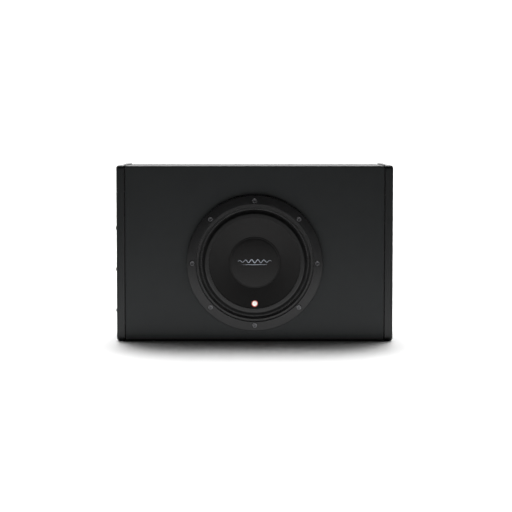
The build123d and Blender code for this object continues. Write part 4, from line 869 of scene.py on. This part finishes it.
# Wadding: a loose fibre mat with tufts, thickest between them
matSizes = {"long": 70, "tall": 48, "puff": 5.0, "lump": 0.035}
low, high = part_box("acoustic_wadding")
size = high - low
work = bmesh.new()
bmesh.ops.create_cube(work, size=1.0)
bmesh.ops.subdivide_edges(work, edges=[e for e in work.edges if abs(e.verts[0].co.x - e.verts[1].co.x) > 0.5],
                          cuts=matSizes["long"], use_grid_fill=True)
bmesh.ops.subdivide_edges(work, edges=[e for e in work.edges if abs(e.verts[0].co.z - e.verts[1].co.z) > 0.5],
                          cuts=matSizes["tall"], use_grid_fill=True)
bmesh.ops.subdivide_edges(work, edges=[e for e in work.edges if abs(e.verts[0].co.y - e.verts[1].co.y) > 0.5],
                          cuts=6, use_grid_fill=True)
for vertex in work.verts:
    u, v, t = vertex.co.x * 2, vertex.co.z * 2, vertex.co.y + 0.5
    at = Vector((low.x + (u + 1) / 2 * size.x, low.y + t * size.y, low.z + (v + 1) / 2 * size.z))
    edge = max(abs(u) ** 6, abs(v) ** 6)  # the rim of the mat is pressed thin
    lump = noise.noise(at / matSizes["lump"]) * 0.5 + 0.5
    tuft = abs(math.sin(u * 4.7)) * abs(math.sin(v * 3.2))
    drawn = (1 - t) * (edge * 0.55 + (1 - tuft) * 0.18 + lump * 0.16) * size.y
    fray = noise.noise_vector(at / 0.011) * 1.2 * mm * (1 if t < 0.9 else 0.2)
    vertex.co = Vector((at.x, at.y + drawn, at.z)) + Vector((fray.x, abs(fray.y) * (1 - t), fray.z))
    vertex.co.x = min(high.x, max(low.x, vertex.co.x))
    vertex.co.z = min(high.z, max(low.z, vertex.co.z))
mesh = bpy.data.meshes.new("wadding")
work.to_mesh(mesh)
work.free()
wadding = link("fibreMat", mesh, "wadding", 180)
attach(wadding, "enclosure")
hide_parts("acoustic_wadding")
print("foam and wadding ready")


# Control panel: printed marks, pointers on the knobs, fuses with metal blades
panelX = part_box("control_panel")[0].x
tick = sample(shape([(x, y, z) for z in (-0.02 * mm, 0.06 * mm) for x, y in
                     ((-0.7 * mm, -0.16 * mm), (0.7 * mm, -0.16 * mm), (0.7 * mm, 0.16 * mm), (-0.7 * mm, 0.16 * mm))],
                    [(0, 3, 2, 1), (4, 5, 6, 7), (0, 1, 5, 4), (1, 2, 6, 5), (2, 3, 7, 6), (3, 0, 4, 7)]))
for control in ("gain", "crossover", "bass"):
    low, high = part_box(control + "_knob")
    y, z = (low.y + high.y) / 2, (low.z + high.z) / 2
    marks = grow(control + "Ticks", ring, {"Shape": tick, "Count": 11, "Radius": 8.1 * mm, "Start": math.radians(-60),
                                           "Sweep": math.radians(330), "Spin": 0.0, "Seed": 0}, "panelInk",
                 placing((panelX, y, z), (0, -1, 0)))
    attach(marks, "enclosure")
    reach = high.z - z
    ends = [(-0.36 * mm, reach * 0.18), (0.36 * mm, reach * 0.18), (0.36 * mm, reach - 0.5 * mm), (-0.36 * mm, reach - 0.5 * mm)]
    bar = shape([(low.x + deep * mm, y + a, z + c) for deep in (0.12, 0.62) for a, c in ends],
                [(0, 1, 2, 3), (7, 6, 5, 4), (0, 4, 5, 1), (1, 5, 6, 2), (2, 6, 7, 3), (3, 7, 4, 0)])
    pointer = link(control + "Pointer", bar, "panelInk")
    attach(pointer, control + "_control")
drop(tick)

for node, body in (("fuse_1", "first_fuse"), ("fuse_2", "second_fuse")):
    mesh = nodes[node].data.copy()
    work = bmesh.new()
    work.from_mesh(mesh)
    bmesh.ops.remove_doubles(work, verts=work.verts, dist=1e-6)
    bmesh.ops.dissolve_limit(work, angle_limit=0.01, verts=work.verts, edges=work.edges)
    low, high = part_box(node)
    for face in work.faces:
        face.material_index = 1 if face.calc_center_median().x > high.x - 7.5 * mm + 0.02 * mm else 0
    work.to_mesh(mesh)
    work.free()
    fuse = link(node + "Body", mesh, "fuse_plastic", 30)
    mesh.materials.append(finishes["lug_brass"])
    edge = fuse.modifiers.new("edge", "BEVEL")
    edge.width, edge.segments, edge.limit_method, edge.angle_limit = 0.22 * mm, 2, "ANGLE", math.radians(40)
    bake(fuse)
    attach(fuse, body)
    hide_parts(node)


# Toroid: a wound core, each turn a loop of wire
low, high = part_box("toroid")
coreSizes = {"wire": 0.62, "turns": 72, "ring": 18.0}
loopRadius = (high.x - low.x) / 2 - coreSizes["wire"] * mm
points, faces, around, across = [], [], 14, 5
for i in range(around):
    a = math.tau * i / around
    for k in range(across):
        c = math.tau * k / across
        reach = loopRadius + coreSizes["wire"] * mm * math.cos(c)
        points.append((reach * math.cos(a), coreSizes["wire"] * mm * math.sin(c), reach * math.sin(a)))
        faces.append((i * across + k, i * across + (k + 1) % across,
                      (i + 1) % around * across + (k + 1) % across, (i + 1) % around * across + k))
loop = sample(shape(points, faces))
centre = (low + high) / 2
windings = grow("toroidTurns", ring, {"Shape": loop, "Count": coreSizes["turns"], "Radius": coreSizes["ring"] * mm,
                                      "Start": 0.0, "Sweep": math.tau, "Spin": 0.03, "Seed": 3}, "winding",
                placing(centre, (0, -1, 0)), 60)
drop(loop)
core = turned([(coreSizes["ring"] * mm + (loopRadius - 0.5 * mm) * math.cos(math.tau * k / 16),
                (loopRadius - 0.5 * mm) * math.sin(math.tau * k / 16)) for k in range(16)], 64, closed=True)
core.transform(placing(centre, (0, -1, 0)))
coreRing = link("toroidCore", core, "ferrite", 60)
for piece in (windings, coreRing):
    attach(piece, "enclosure")
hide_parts("toroid")


# Tinsel leads: braided tubes from the terminal lugs to the back of the cone
leadSizes = {"radius": 0.6, "sides": 10}
_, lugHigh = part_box("terminal_lugs")
tinselLow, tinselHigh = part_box("tinsel_leads")
for side in (-1, 1):
    start = Vector((lugHigh.x - 4 * mm, baffleY + 43.2 * mm, driverZ + side * 6 * mm))
    finish = Vector((tinselHigh.x, tinselLow.y + 0.6 * mm, driverZ + side * 4 * mm))
    route = [start, start + Vector((9, -1, -0.4 * side)) * mm, start + Vector((19, -6, -1.0 * side)) * mm,
             start + Vector((30, -15, -1.6 * side)) * mm, finish]
    curve = bpy.data.curves.new("lead", "CURVE")
    curve.dimensions, curve.resolution_u = "3D", 16
    spline = curve.splines.new("NURBS")
    spline.points.add(len(route) - 1)
    for point, co in zip(spline.points, route):
        point.co = (*co, 1.0)
    spline.order_u, spline.use_endpoint_u = 3, True
    curve.bevel_depth, curve.bevel_resolution, curve.use_fill_caps = leadSizes["radius"] * mm, 3, True
    holder = bpy.data.objects.new("lead", curve)
    bpy.context.collection.objects.link(holder)
    bpy.context.view_layer.update()
    mesh = bpy.data.meshes.new_from_object(holder.evaluated_get(bpy.context.evaluated_depsgraph_get()))
    bpy.data.objects.remove(holder)
    lead = link("tinselLead" + ("Low" if side < 0 else "High"), mesh, "tinsel", 60)
    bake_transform(lead)
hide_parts("tinsel_leads")
print("controls, fuses, toroid and leads ready")
